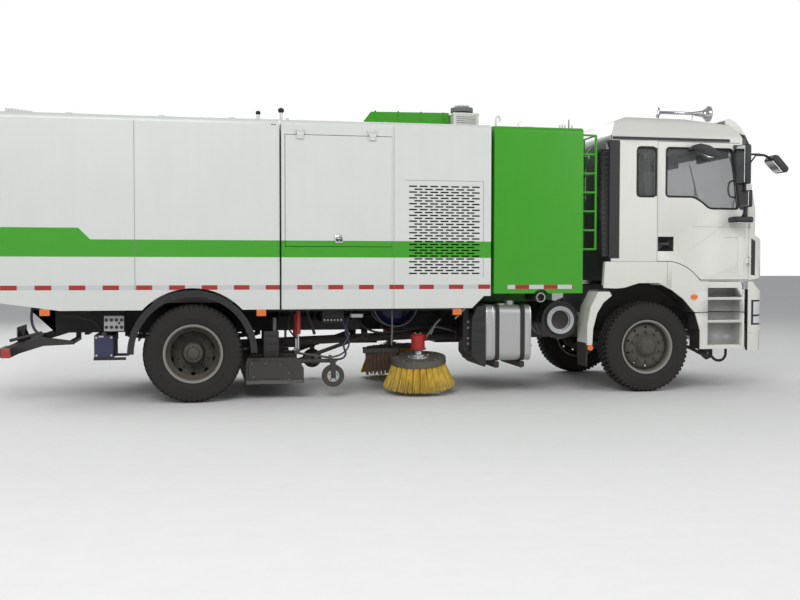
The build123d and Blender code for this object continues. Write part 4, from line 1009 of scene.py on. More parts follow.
class SWEEPER_OT_side_brushes(bpy.types.Operator):
    """Makes the side brushes: steel disc, hub and tufts of bristles"""

    bl_idname = "sweeper.side_brushes"
    bl_label = "Side brushes"

    def execute(self, context):
        settings = context.scene.sweeper
        for side, place in SIDES:
            chance = random.Random(7)
            tilt = Vector((-math.sin(math.radians(3)), side * math.sin(math.radians(7)), 1)).normalized()
            stand = Matrix.Translation((BRUSH[0], side * BRUSH[1], BRUSH[2])) @ turn_to(tilt)
            brush = Shape()
            brush.add(moved(turned([(0.016, 0.0), (0.016, 0.095), (0.012, 0.20), (0.015, 0.296), (0.010, 0.302),
                                    (-0.050, 0.306), (-0.054, 0.300), (-0.050, 0.292), (-0.008, 0.286),
                                    (-0.012, 0.0)], axis=(0, 0, 1), steps=56), stand), "cast")
            brush.add(moved(turned([(0.012, 0.0), (0.012, 0.13), (0.022, 0.128), (0.026, 0.088), (0.046, 0.085),
                                    (0.050, 0.05), (0.15, 0.024), (0.15, 0.0)], axis=(0, 0, 1), steps=32),
                            stand), "bright_metal")
            brush.add(moved(turned([(-0.008, 0.105), (-0.055, 0.105), (-0.055, 0.20), (-0.045, 0.212),
                                    (-0.008, 0.212)], axis=(0, 0, 1), steps=32), stand), "chassis_black")
            bolts = rod((0, 0.11, 0.014), (0, 0.11, 0.034), 0.012, sides=6)
            brush.add(moved(around(bolts, (0, 0, 0), (0, 0, 1), 6), stand), "bright_metal")
            holes = rod((0, 0.245, 0.013), (0, 0.245, 0.021), 0.010, sides=6)
            brush.add(moved(around(holes, (0, 0, 0), (0, 0, 1), 12), stand), "bright_metal")
            tufts = bmesh.new()
            for i in range(settings.tufts):
                angle = math.tau * i / settings.tufts
                for layer, foot, tip in ((0, 0.272, 0.398), (1, 0.245, 0.335)):
                    turn = angle + layer * math.pi / settings.tufts
                    self.tuft(tufts, turn, foot, tip, math.tau / settings.tufts, chance)
            brush.add(moved(tufts, stand), "bristle")
            brush.stand_for("side_brush_" + place)
        return {"FINISHED"}

    @staticmethod
    def tuft(tufts, turn, foot, tip, pitch, chance):
        """Bundle of thin strands that fans out towards the ground."""
        for row in range(2):
            for k in range(7):
                spread = (k - 3) / 3
                start = turn + spread * pitch * 0.30
                end = turn + spread * pitch * 0.40 + chance.uniform(-0.012, 0.012)
                reach = tip - row * 0.016 + chance.uniform(-0.012, 0.004) - abs(spread) * 0.004
                low = -0.313 + chance.uniform(0.0, 0.018)
                inner = foot - row * 0.012
                a = Vector((inner * math.cos(start), inner * math.sin(start), -0.012))
                b = Vector((reach * math.cos(end), reach * math.sin(end), low))
                middle = (a + b) / 2 + Vector((math.cos(turn), math.sin(turn), 0)) * -0.008
                for p, q, r1, r2 in ((a, middle, 0.0055, 0.0060), (middle, b, 0.0060, 0.0035)):
                    way = q - p
                    bmesh.ops.create_cone(tufts, cap_ends=True, segments=4, radius1=r1, radius2=r2,
                                          depth=way.length * 1.01,
                                          matrix=Matrix.Translation(p + way / 2) @ turn_to(way))


class SWEEPER_OT_brush_gear(bpy.types.Operator):
    """Adds hoses, plates and springs to the brush arms"""

    bl_idname = "sweeper.brush_gear"
    bl_label = "Brush gear"

    def execute(self, context):
        for side, place in SIDES:
            gear = Shape()
            gear.add(hose([(2.53, side * 0.87, 0.63), (2.575, side * 0.89, 0.70), (2.62, side * 0.80, 0.73),
                           (2.80, side * 0.66, 0.70), (2.90, side * 0.57, 0.67)], 0.012), "grey_hose")
            gear.add(hose([(2.52, side * 0.80, 0.60), (2.60, side * 0.74, 0.66), (2.78, side * 0.62, 0.665),
                           (2.91, side * 0.545, 0.655)], 0.010), "rubber")
            gear.add(band((0, 0.012), (0.076, 0.088), (2.433, side * 0.871, 0.492),
                          Vector((-0.052, side * 0.121, 0.99)), 24), "arm_black")
            head = Vector((2.428, side * 0.889, 0.655))
            gear.add(turned([(0, 0.0), (0, 0.045), (0.010, 0.042), (0.016, 0.02), (0.016, 0.0)], head,
                            (0, 0, 1), 20), "arm_black")
            for dx in (-0.03, 0.03):
                gear.add(rod(head + Vector((dx, 0, 0)), head + Vector((dx, 0, 0.022)), 0.010, sides=6),
                         "bright_metal")
            gear.add(rod((2.62, side * 0.70, 0.652), (2.84, side * 0.55, 0.658), 0.014, sides=12), "rod_chrome")
            gear.add(rod((2.75, side * 0.612, 0.6555), (2.93, side * 0.488, 0.660), 0.024, sides=16,
                         edge=0.003), "chassis_black")
            gear.add(plate(eased([(2.47, 0.0), (2.66, 0.0), (2.68, 0.012), (2.66, 0.022), (2.47, 0.022)],
                                 0.008), (side * 0.90, side * 0.955), edge=0.002), "bright_metal")
            gear.place("brush_gear_" + place, "brush_arm_" + place, "chassis_black")
        return {"FINISHED"}


class SWEEPER_OT_nozzle_gear(bpy.types.Operator):
    """Adds flaps, bolts, hoses and caster details to the suction nozzle"""

    bl_idname = "sweeper.nozzle_gear"
    bl_label = "Suction nozzle fittings"

    def execute(self, context):
        gear = Shape()
        for side in (-1, 1):
            out = side * 1.082
            gear.add(plate(eased([(0.566, 0.335), (0.584, 0.416), (0.92, 0.40), (1.017, 0.289), (1.038, 0.191),
                                  (0.695, 0.235), (0.575, 0.205)], 0.02), (out, out + side * 0.008),
                                  edge=0.002), "nozzle_black")
            for x, z in ((0.60, 0.385), (0.75, 0.385), (0.90, 0.37), (0.99, 0.28), (1.0, 0.21), (0.62, 0.24)):
                gear.add(bolt((x, out + side * 0.008, z), (0, side, 0), 0.009), "cast")
            gear.add(block((0.545, 1.145), (out, out + side * 0.007), (0.165, 0.205), 0.002), "cast")
            gear.add(block((1.375, 1.555), (side * 1.02, side * 1.08), (0.408, 0.420), 0.002), "nozzle_black")
            gear.add(rod((1.435, side * 1.05, 0.41), (1.435, side * 1.05, 0.46), 0.018, sides=12, edge=0.002),
                     "cast")
            for x in (1.08, 1.26):
                gear.add(band((0, 0.05), (0.023, 0.030), (x, side * 1.05, 0.40),
                                (1, 0, 0), 16), "nozzle_black")
        for x in (0.552, 1.146):
            gear.add(block(span(x, 0.010), (-1.07, 1.07), (0.175, 0.215), 0.003), "cast")
        for y in (-0.8, -0.4, 0.0, 0.4, 0.8):
            gear.add(block((0.60, 1.08), span(y, 0.006), (0.44, 0.462), 0.002), "nozzle_black")
        gear.add(turned([(0.0, 0.19), (0.10, 0.17), (0.10, 0.16), (0.0, 0.18)], (0.82, -0.45, 0.438),
                        (0, 0, 1), 40), "nozzle_black")
        gear.add(turned([(0.10, 0.0), (0.10, 0.168), (0.115, 0.172), (0.13, 0.168), (0.13, 0.0)],
                        (0.82, -0.45, 0.438), (0, 0, 1), 40), "rubber")
        gear.place("nozzle_fittings", "nozzle", "nozzle_black")
        for side, place in SIDES:
            wheel = Shape()
            centre = Vector((CASTER[0], side * CASTER[1], CASTER[2]))
            for way in (-1, 1):
                wheel.add(turned([(way * 0.0255, 0.0125), (way * 0.0255, 0.062), (way * 0.029, 0.064),
                                  (way * 0.030, 0.030), (way * 0.034, 0.026), (way * 0.034, 0.0125)],
                                 centre, steps=28), "bright_metal")
                wheel.add(around(bolt(centre + Vector((0, way * 0.028, 0.046)), (0, way, 0), 0.006), centre,
                                 (0, 1, 0), 5), "cast")
            wheel.add(turned([(-0.020, 0.1175), (-0.018, 0.1195), (0.018, 0.1195), (0.020, 0.1175)], centre,
                             steps=40), "caster_rubber")
            wheel.place("caster_hub_" + place, "nozzle_wheel_" + place, "caster_rubber")
        return {"FINISHED"}


# Body


SLOT_COLUMNS = 29
SLOT_ROWS = 63


def slotted_panel(x_limits, z_limits, y, thickness):
    """Upright panel with staggered rows of long slots."""
    wide = x_limits[1] - x_limits[0]
    tall = z_limits[1] - z_limits[0]
    centre = (sum(x_limits) / 2, y, sum(z_limits) / 2)
    part = bmesh.new()
    bmesh.ops.create_grid(part, x_segments=SLOT_COLUMNS, y_segments=SLOT_ROWS, size=0.5,
                          matrix=Matrix.Translation(centre) @ Matrix.Diagonal((wide, 1, tall, 1))
                          @ Matrix.Rotation(math.pi / 2, 4, "X"))
    cut = []
    for face in part.faces:
        middle = face.calc_center_median()
        column = int((middle.x - x_limits[0]) / wide * SLOT_COLUMNS)
        row = int((middle.z - z_limits[0]) / tall * SLOT_ROWS)
        if row % 2 == 1:
            shifted = column - 1 - (2 if row % 4 == 3 else 0)
            if 0 <= shifted < (24 if row % 4 == 3 else 28) and shifted % 4 < 3:
                cut.append(face)
    bmesh.ops.delete(part, geom=cut, context="FACES")
    bmesh.ops.recalc_face_normals(part, faces=part.faces)
    bmesh.ops.solidify(part, geom=part.faces[:], thickness=thickness)
    return part


class SWEEPER_OT_grilles(bpy.types.Operator):
    """Makes the slotted intake panels, with a near-black sheet and bars behind them as painted shade inside the
    opening
    """

    bl_idname = "sweeper.grilles"
    bl_label = "Intake grilles"

    def execute(self, context):
        grilles = Shape(mirrored=True)
        grilles.add(slotted_panel((2.225, 3.057), (1.31, 2.28), -1.2495, 0.004), "body_white")
        # near-black sheet and bars behind the slots: painted shade inside the intake
        grilles.add(block((2.235, 3.047), (-1.226, -1.216), (1.32, 2.27), 0.003), "painted_shade_black")
        for i in range(14):
            x = 2.26 + i * 0.0588
            grilles.add(block((x, x + 0.006), (-1.232, -1.224), (1.32, 2.27), 0.001), "painted_shade_black")
        grilles.stand_for("air_grilles")
        return {"FINISHED"}


def marker_lamp(shape, x, z, y=-1.246):
    """Amber marker lamp on a black base, on both sides."""
    shape.add(block(span(x, 0.055), (y + 0.03, y + 0.012), span(z, 0.040), 0.006), "rubber", both=True)
    shape.add(block(span(x, 0.049), (y + 0.014, y - 0.008), span(z, 0.034), 0.009, 3), "amber", both=True)
    for dx in (-0.02, 0, 0.02):
        shape.add(block((x + dx - 0.002, x + dx + 0.002), (y - 0.006, y - 0.010), span(z, 0.026), 0.001),
                  "amber", both=True)


class SWEEPER_OT_body_trim(bpy.types.Operator):
    """Adds seams, latches, edge strips, marker lamps and drain hoses to the body"""

    bl_idname = "sweeper.body_trim"
    bl_label = "Body trim"

    def execute(self, context):
        y = -HALF_WIDTH
        box = Shape(mirrored=True)
        box.add(block((-0.572, -0.567), (y - 0.0015, y + 0.001), (1.16, 2.87), 0), "seam")
        box.add(block((0.868, 0.884), (y - 0.004, y + 0.002), (0.97, 2.875), 0.0015), "body_white")
        for x in (-2.30, 0.80):
            box.add(block((x, x + 0.05), span(y, 0.002), (2.862, 2.874), 0.001), "seam")
        for x in (-1.9, -1.2, -0.3, 0.4):
            box.add(block(span(x, 0.03), (-1.19, -1.05), (2.928, 2.940), 0.003), "body_white")
        marker_lamp(box, -1.443, 0.945)
        marker_lamp(box, 0.695, 0.925)
        box.place("box_trim", "dust_box", "body_white")

        rear = Shape()
        coil = []
        for i in range(9):
            coil += [(i * 0.030, 0.024), (i * 0.030 + 0.008, 0.037), (i * 0.030 + 0.016, 0.024)]
        coil = [(0.0, 0.0)] + coil + [(0.262, 0.0)]
        rear.add(turned(coil, (-1.822, -1.06, 2.958), (0.994, 0, -0.106), 20), "white_plastic")
        rear.add(plate([(-1.66, 2.925), (-1.62, 2.953), (-1.44, 2.929), (-1.44, 2.925)], (-1.00, -0.90)),
                 "trim_black")
        for x in (-1.80, -1.60):
            rear.add(block(span(x, 0.012), (-1.10, -1.02), (2.925, 2.945), 0.004), "white_plastic")
        rear.add(rod((0.677, -1.1, 2.925), (0.677, -1.1, 2.985), 0.018, sides=12, edge=0.003), "white_plastic")
        rear.add(turned([(0, 0.0), (0.006, 0.018), (0.022, 0.027), (0.040, 0.020), (0.048, 0.0)],
                        (0.677, -1.1, 2.98), (0, 0, 1), 16), "rubber")
        rear.place("box_roof_fittings", "dust_box", "visor_white")

        case = Shape()
        for x in (2.078, 0.912):
            case.add(block(span(x, 0.008), (y - 0.004, y + 0.002), (0.97, 2.875), 0.0015), "body_white",
                     both=True)
        case.add(block((2.090, 2.0935), span(y, 0.001), (0.97, 2.875), 0), "seam", both=True)
        for x_low, x_high, z_low, z_high in ((2.20, 3.07, 2.318, 2.322), (3.068, 3.072, 1.285, 2.32)):
            case.add(block((x_low, x_high), (y - 0.0015, y + 0.001), (z_low, z_high), 0), "seam", both=True)
        marker_lamp(case, 2.783, 0.92)
        for x, tall in ((0.915, 0.10), (0.98, 0.03)):
            case.add(rod((x, -1.10, BODY_TOP - 0.005), (x, -1.10, BODY_TOP + tall), 0.016, sides=12,
                         edge=0.003), "white_plastic")
        case.add(turned([(0, 0.0), (0.008, 0.022), (0.028, 0.034), (0.050, 0.026), (0.06, 0.0)],
                        (0.915, -1.10, BODY_TOP + 0.075), (0, 0, 1), 18), "rubber")
        case.add(block((1.735, 1.87), (-0.66, -0.50), (BODY_TOP - 0.003, BODY_TOP + 0.055), 0.012, 2),
                 "visor_white")
        case.add(plate([(1.74, BODY_TOP), (1.70, BODY_TOP + 0.06), (1.74, BODY_TOP + 0.08), (1.93, BODY_TOP)],
                       (-0.62, -0.59)), "visor_white")
        case.place("housing_trim", "chassis", "body_white")

        for side, place in SIDES:
            hatch = Shape()
            out = side * HALF_WIDTH
            hatch.add(block((1.463, 1.547), (out - side * 0.002, out + side * 0.016), (1.648, 1.735), 0.008, 2),
                      "bright_metal")
            hatch.add(block((1.474, 1.536), (out + side * 0.014, out + side * 0.019), (1.668, 1.712), 0.004),
                      "chassis_black")
            hatch.add(block((1.482, 1.528), (out + side * 0.017, out + side * 0.024), (1.690, 1.706), 0.004, 2),
                      "bright_metal")
            hatch.add(rod((1.505, out + side * 0.017, 1.678), (1.505, out + side * 0.022, 1.678), 0.007,
                          sides=12), "bright_metal")
            for x in (1.10, 1.86):
                for dx in (-0.022, 0.022):
                    hatch.add(bolt((x + dx, out + side * 0.026, 2.756), (0, side, 0), 0.006, False),
                              "bright_metal")
            hatch.place("hatch_latch_" + place, "service_door_" + place, "silver")
        return {"FINISHED"}


class SWEEPER_OT_roof_gear(bpy.types.Operator):
    """Adds flanges, cap ribs and tank fittings on the roof"""

    bl_idname = "sweeper.roof_gear"
    bl_label = "Roof fittings"

    def execute(self, context):
        roof = Shape()
        top = BODY_TOP
        for x in (1.99, 2.25, 2.51, 2.77):
            roof.add(block((x, x + 0.02), (-0.606, 0.606), (top - 0.002, top + 0.216), 0.005), "grass_green")
        for side in (-1, 1):
            roof.add(block((1.87, 2.85), (side * 0.598, side * 0.640), (top - 0.004, top + 0.006), 0.002),
                     "grass_green")
            for i in range(9):
                roof.add(bolt((1.92 + i * 0.11, side * 0.622, top + 0.006), (0, 0, 1), 0.008), "bright_metal")
        roof.add(block((2.852, 3.158), (-0.768, -0.292), (top + 0.170, top + 0.194), 0.006, 2), "visor_white")
        roof.add(block((2.845, 3.160), (-0.775, -0.285), (top - 0.003, top + 0.008), 0.002), "visor_white")
        for i in range(6):
            z = top + 0.035 + i * 0.022
            roof.add(block((2.89, 3.12), (-0.766, -0.758), (z, z + 0.008), 0.003), "seam")
        cap = Vector((3.02, -0.50, top + 0.235))
        roof.add(turned([(0, 0.05), (0, 0.122), (0.012, 0.126), (0.046, 0.122), (0.058, 0.095), (0.075, 0.060),
                         (0.079, 0.0)], cap, (0, 0, 1), 36), "grey_hose")
        roof.add(around(block((3.02 + 0.06, 3.02 + 0.128), (-0.504, -0.496), (top + 0.231, top + 0.282),
                              0.002), cap, (0, 0, 1), 18), "grey_hose")
        roof.place("roof_fittings", "chassis", "visor_white")

        tank = Shape()
        top = TANK_TOP
        tank.add(turned([(0, 0.0), (0, 0.27), (0.010, 0.272), (0.018, 0.262), (0.045, 0.24), (0.052, 0.0)],
                        (3.70, -0.45, top - 0.003), (0, 0, 1), 40), "grass_green")
        tank.add(turned([(0, 0.0), (0, 0.05), (0.02, 0.05), (0.03, 0.035), (0.03, 0.0)],
                        (3.70, -0.45, top + 0.048), (0, 0, 1), 20), "white_plastic")
        tank.add(hose([(3.245, -1.12, top - 0.01), (3.245, -1.12, top + 0.09), (3.262, -1.12, top + 0.115),
                       (3.285, -1.12, top + 0.10), (3.285, -1.12, top + 0.06)], 0.012), "white_plastic")
        tank.add(rod((3.51, -1.10, top - 0.01), (3.51, -1.10, top + 0.055), 0.010, sides=10), "bright_metal")
        tank.add(hose([(3.49, -1.10, top + 0.03), (3.53, -1.10, top + 0.075)], 0.006, "VECTOR"), "bright_metal")
        for x, tall, wide, finish in ((3.985, 0.045, 0.016, "white_plastic"),
                                      (4.015, 0.060, 0.012, "white_plastic"),
                                      (4.045, 0.05, 0.014, "white_plastic"), (4.09, 0.11, 0.009, "seam"),
                                      (4.125, 0.05, 0.014, "white_plastic")):
            tank.add(rod((x, -1.09, top - 0.01), (x, -1.09, top + tall), wide, wide * 0.6, 10, 0.002), finish)
        tank.add(block((3.55, 3.68), (-1.13, -1.07), (top - 0.006, top + 0.014), 0.005), "white_plastic")
        for i in range(7):
            z = 1.6 + i * 0.209
            for y in (-1.18, -0.82):
                tank.add(turned([(0, 0.011), (0, 0.028), (0.006, 0.028), (0.008, 0.011)], (4.2035, y, z),
                                (1, 0, 0), 12), "grass_green")
        tank.add(hose([(4.30, -1.18, 2.60), (4.34, -1.02, 2.68), (4.42, -0.95, 2.74)], 0.009), "grass_green")
        tank.add(block((4.200, 4.206), (-0.60, 0.60), (1.8, 2.6), 0.002), "grass_green")
        tank.place("tank_fittings", "chassis", "grass_green")
        return {"FINISHED"}


# Chassis gear


class SWEEPER_OT_chassis_gear(bpy.types.Operator):
    """Adds straps, hoses, ducts, valves and brackets along the chassis"""

    bl_idname = "sweeper.chassis_gear"
    bl_label = "Chassis gear"

    def execute(self, context):
        self.tank_and_silencer()
        self.middle()
        self.rear()
        self.guards()
        return {"FINISHED"}

    @staticmethod
    def tank_and_silencer():
        """Straps, seams, filler and rear cover of the fuel tank, rings of the silencer and of the coupling."""
        tank = Shape()
        loop = eased([(-1.176, 0.370), (-1.176, 0.992), (-0.594, 0.992), (-0.594, 0.370)], 0.10, 5)
        for x, wide in ((3.2545, 0.023), (3.542, 0.025)):
            inner = [(y + (0.007 if y < -0.885 else -0.007), z + (0.007 if z < 0.68 else -0.007))
                     for y, z in loop]
            ring = bmesh.new()
            for x_side in span(x, wide):
                for points in (loop, inner):
                    verts = [ring.verts.new((x_side, y, z)) for y, z in points]
                    for a, b in zip(verts, verts[1:] + verts[:1]):
                        ring.edges.new((a, b))
            n = len(loop)
            ring.verts.ensure_lookup_table()
            loops = [[ring.verts[k * n + i] for i in range(n)] for k in (0, 1, 3, 2)]
            for a, b in zip(loops, loops[1:] + loops[:1]):
                for i in range(n):
                    j = (i + 1) % n
                    ring.faces.new((a[i], a[j], b[j], b[i]))
            tank.add(ring, "rubber")
            tank.add(block(span(x, 0.030), (-1.15, -0.43), (0.30, 0.368), 0.01), "chassis_black")
            tank.add(rod((x, -1.12, 0.29), (x, -1.12, 0.375), 0.010, sides=8), "bright_metal")
            tank.add(block(span(x, 0.014), (-1.184, -1.174), (0.44, 0.50), 0.003), "chassis_black")
        for x in (3.135, 3.205, 3.63):
            tank.add(hose([(x, -0.70, 0.9875), (x, -1.09, 0.9875), (x, -1.145, 0.965), (x, -1.1715, 0.905),
                           (x, -1.1715, 0.455), (x, -1.145, 0.397), (x, -1.09, 0.3745)], 0.004, "VECTOR"),
                     "bright_metal")
        cover = [(2.962, 0.83), (3.02, 0.968), (3.122, 0.992), (3.122, 0.31), (3.06, 0.33), (2.962, 0.44)]
        tank.add(plate(eased(cover, 0.02), (-1.185, -0.60), edge=0.006), "trim_black")
        for z in (0.46, 0.58, 0.70, 0.82):
            tank.add(block((2.985, 3.105), (-1.190, -1.183), (z, z + 0.018), 0.004), "trim_black")
        tank.add(turned([(0, 0.0), (0, 0.058), (0.016, 0.060), (0.020, 0.052), (0.024, 0.0)],
                        (3.33, -1.02, 0.984), (0, 0, 1), 28), "bright_metal")
        tank.add(hose([(3.62, -1.0, 0.50), (3.68, -0.98, 0.50), (3.72, -0.90, 0.54), (3.74, -0.6, 0.66)],
                      0.011), "rubber")
        tank.add(rod((3.655, -1.0, 0.51), (3.70, -1.0, 0.54), 0.022, sides=12, edge=0.003), "bright_metal")
        ring = Vector((SILENCER[0], -1.13, SILENCER[1]))
        tank.add(turned([(0, 0.112), (-0.006, 0.120), (-0.008, 0.140), (0, 0.150), (0.02, 0.152),
                         (0.02, 0.112)], ring, (0, -1, 0), 48), "rod_chrome")
        tank.add(turned([(0.03, 0.0), (0.026, 0.085), (0.018, 0.112), (0.034, 0.112), (0.036, 0.0)], ring,
                        (0, 1, 0), 40), "silver")
        for r in (0.195, 0.207):
            tank.add(band((0, 0.012), (r - 0.006, r + 0.003),
                            (SILENCER[0], -1.12 + (0.207 - r), SILENCER[1]), (0, 1, 0), 48), "trim_black")
        for dx in (-0.09, 0.09):
            tank.add(band((-0.012, 0.012), (0.2055, 0.2095),
                            (SILENCER[0], -0.86 + dx, SILENCER[1]), (0, 1, 0), 48), "chassis_black")
        tank.add(band((0, 0.014), (0.042, 0.050), (3.725, -1.244, 1.07), (0, 1, 0), 28), "bright_metal")
        tank.place("tank_and_silencer_fittings", "chassis", "tank_aluminium")

    @staticmethod
    def middle():
        """Suction duct, hoses, valve block and lift linkage between the wheels."""
        gear = Shape()
        gear.add(band((-0.16, 0.16), (0.235, 0.243), (DUCT_X, -0.62, DUCT_Z), (0, 1, 0), 56), "blue_hose")
        gear.add(turned([(0.0, 0.0), (-0.02, 0.16), (0.02, 0.235), (0.03, 0.0)], (DUCT_X, -0.66, DUCT_Z),
                        (0, 1, 0), 48), "blue_paint")
        for y in (-0.76, -0.48):
            gear.add(band((-0.008, 0.008), (0.24, 0.252), (DUCT_X, y, DUCT_Z), (0, 1, 0), 48), "grey_hose")
        for points, size, finish in (
            ([(1.56, -0.9, 0.95), (1.60, -0.9, 0.78), (1.655, -0.9, 0.66), (1.60, -0.92, 0.55),
              (1.62, -0.9, 0.44), (1.507, -0.95, 0.391)], 0.011, "blue_hose"),
            ([(1.70, -0.88, 0.95), (1.62, -0.9, 0.70), (1.66, -0.9, 0.56), (1.60, -0.9, 0.47),
              (1.45, -0.95, 0.42)], 0.010, "blue_hose"),
            ([(2.13, -0.92, 0.95), (2.132, -0.93, 0.74), (2.125, -0.93, 0.55)], 0.009, "grey_hose"),
            ([(2.90, -1.12, 0.95), (2.79, -1.12, 0.84)], 0.010, "bright_metal"),
            ([(2.66, -0.98, 0.83), (2.60, -0.97, 0.76), (2.56, -0.95, 0.66)], 0.010, "grey_hose"),
            ([(0.85, -0.95, 0.86), (0.85, -0.95, 0.42)], 0.020, "grey_hose"),
            ([(1.20, -0.86, 0.94), (1.29, -0.86, 0.67)], 0.016, "chassis_black"),
            ([(1.08, -0.82, 0.47), (1.44, -0.9, 0.42)], 0.012, "cast"),
            ([(1.05, -0.86, 0.93), (1.0, -0.9, 0.78), (1.06, -0.9, 0.66), (1.12, -0.86, 0.62)], 0.009,
             "rubber"),
            ([(1.86, -0.66, 0.94), (1.80, -0.75, 0.80), (1.92, -0.78, 0.70), (2.2, -0.72, 0.68),
              (2.5, -0.7, 0.72)], 0.012, "rubber"),
        ):
            gear.add(hose(points, size, "AUTO" if len(points) > 2 else "VECTOR"), finish)
        gear.add(block((0.73, 0.895), (-1.0, -0.62), (0.43, 0.72), 0.012, 2), "chassis_black")
        for z in (0.50, 0.58, 0.66):
            gear.add(block((0.745, 0.88), (-1.006, -0.998), (z, z + 0.016), 0.003), "guard_black")
        gear.add(rod((1.105, -0.93, 0.95), (1.105, -0.93, 0.68), 0.027, sides=20, edge=0.004), "red_paint")
        gear.add(rod((1.105, -0.93, 0.68), (1.105, -0.93, 0.51), 0.012, sides=14), "rod_chrome")
        gear.add(block((1.085, 1.125), (-0.96, -0.90), (0.485, 0.525), 0.008, 2), "cast")
        gear.add(block((1.36, 1.60), (-0.95, -0.46), (0.80, 0.96), 0.01, 2), "chassis_black")
        for i in range(6):
            gear.add(rod((1.385 + i * 0.036, -0.952, 0.83), (1.385 + i * 0.036, -0.975, 0.83), 0.009, sides=8),
                     "bright_metal")
        gear.add(block((1.66, 1.80), (-1.02, -0.92), (0.855, 0.90), 0.008), "bright_metal")
        for i in range(8):
            x = 1.865 + i * 0.043
            gear.add(plate([(x, 0.46), (x + 0.036, 0.46), (x + 0.040 + i * 0.002, 0.20 + (i % 3) * 0.014),
                            (x + 0.012, 0.205 + (i % 2) * 0.012)], (-0.74 - 0.004 * i, -0.728 - 0.004 * i),
                           edge=0.002), "flap_brown")
        gear.add(block((1.84, 2.24), (-0.76, -0.715), (0.445, 0.50), 0.006), "chassis_black")
        for side in (-1, 1):
            gear.add(block((1.88, 2.20), (side * RAIL_SIDE, side * 0.72), (0.47, 0.49), 0.004), "chassis_black")
            gear.add(block((0.60, 2.92), (side * 1.02, side * 1.05), (0.93, 0.958), 0.006), "chassis_black")
            for x in (0.9, 1.3, 1.75, 2.3, 2.75):
                gear.add(plate([(side * RAIL_SIDE, 0.955), (side * 1.03, 0.955), (side * 1.03, 0.93),
                                (side * 0.60, 0.82),
                                (side * RAIL_SIDE, 0.80)], (x, x + 0.010), "x", 0.002), "chassis_black")
            gear.add(hose([(0.7, side * 0.445, 0.86), (1.8, side * 0.45, 0.84), (2.8, side * 0.45, 0.86),
                           (3.7, side * 0.445, 0.85)], 0.012), "rubber")
            for x in (-1.35, -1.1, 0.9, 1.3, 1.7, 2.1, 2.5, 3.0, 3.5, 3.9):
                for z in (0.73, 0.89):
                    gear.add(bolt((x, side * RAIL_SIDE, z), (0, side, 0), 0.011), "chassis_black")
        gear.add(block((2.975, 3.06), (-0.98, -0.86), (0.70, 0.76), 0.01, 2), "bright_metal")
        for z in (0.56, 0.62, 0.735, 0.80):
            gear.add(bolt((2.955, -1.06, z), (0, -1, 0), 0.009), "bright_metal")
        gear.add(block((2.90, 2.965), (-1.06, -1.03), (0.48, 0.95), 0.004), "chassis_black")
        gear.place("underbody_gear", "chassis", "chassis_black")

    @staticmethod
    def rear():
        """Coupling plate with its sockets, light bar, drain hose, number plate and end caps of the beam."""
        gear = Shape()
        for i in range(4):
            for z in (0.785, 0.858):
                x = -0.864 + i * 0.050
                gear.add(turned([(0, 0.0), (0.003, 0.014), (0.010, 0.017), (0.010, 0.009), (0.002, 0.0)],
                                (x, -1.1075, z), (0, -1, 0), 14), "guard_black")
        gear.add(turned([(0, 0.0), (0.003, 0.010), (0.008, 0.012), (0.008, 0.0)], (-0.737, -1.1075, 0.826),
                        (0, -1, 0), 14), "guard_black")
        gear.add(block((-0.945, -0.891), (-1.106, -1.098), (0.678, 0.700), 0.004), "bright_metal")
        gear.add(hose([(-1.80, -1.10, 0.658), (-1.49, -1.10, 0.737)], 0.016, "VECTOR"), "trim_black")
        gear.add(hose([(-1.591, -1.05, 0.973), (-1.597, -1.05, 0.869), (-1.574, -1.05, 0.776),
                       (-1.535, -1.05, 0.724)], 0.014), "blue_hose")
        gear.add(block((-1.862, -1.776), (-1.236, -1.18), (0.494, 0.590), 0.006, 2), "red_paint", both=True)
        gear.add(block((-0.984, -0.798), (-1.103, -1.098), (0.48, 0.69), 0.003), "blue_paint")
        for x, z in ((-0.965, 0.495), (-0.817, 0.495), (-0.965, 0.678), (-0.817, 0.678)):
            gear.add(bolt((x, -1.103, z), (0, -1, 0), 0.008), "bright_metal")
        gear.add(turned([(0, 0.0), (0, 0.03), (0.02, 0.03), (0.026, 0.02), (0.026, 0.0)], (-0.89, -1.02, 0.699),
                        (0, 0, 1), 20), "cast")
        gear.add(hose([(-0.83, -1.0, 0.74), (-0.76, -0.98, 0.80), (-0.72, -0.9, 0.90), (-0.6, -0.7, 0.95)],
                      0.012), "rubber")
        gear.add(hose([(-0.92, -0.9, 0.71), (-0.96, -0.9, 0.80), (-1.1, -0.8, 0.86), (-1.4, -0.5, 0.88)],
                      0.012), "rubber")
        gear.add(block((-1.878, -1.868), (-0.26, 0.26), (0.605, 0.735), 0.004), "white_plastic")
        gear.add(block((-1.870, -1.856), (-0.27, 0.27), (0.585, 0.745), 0.004), "chassis_black")
        for y in (-0.2, 0.2):
            gear.add(plate([(-1.858, 0.585), (-1.858, 0.72), (-1.80, 0.585)], span(y, 0.005), edge=0.001),
                     "chassis_black")
        gear.add(hose([(-1.43, -0.07, 0.76), (-1.52, -0.07, 0.76), (-1.55, 0.0, 0.76), (-1.52, 0.07, 0.76),
                       (-1.43, 0.07, 0.76)], 0.016), "chassis_black")
        for side in (-1, 1):
            for y in (0.79, 0.925, 1.065):
                gear.add(block((-1.912, -1.898), (side * (y + 0.008), side * (y + 0.118)), (0.508, 0.576),
                               0.008, 2), "tail_red" if y > 1 else ("amber" if y > 0.9 else "white_plastic"))
        gear.place("rear_chassis_gear", "chassis", "chassis_black")

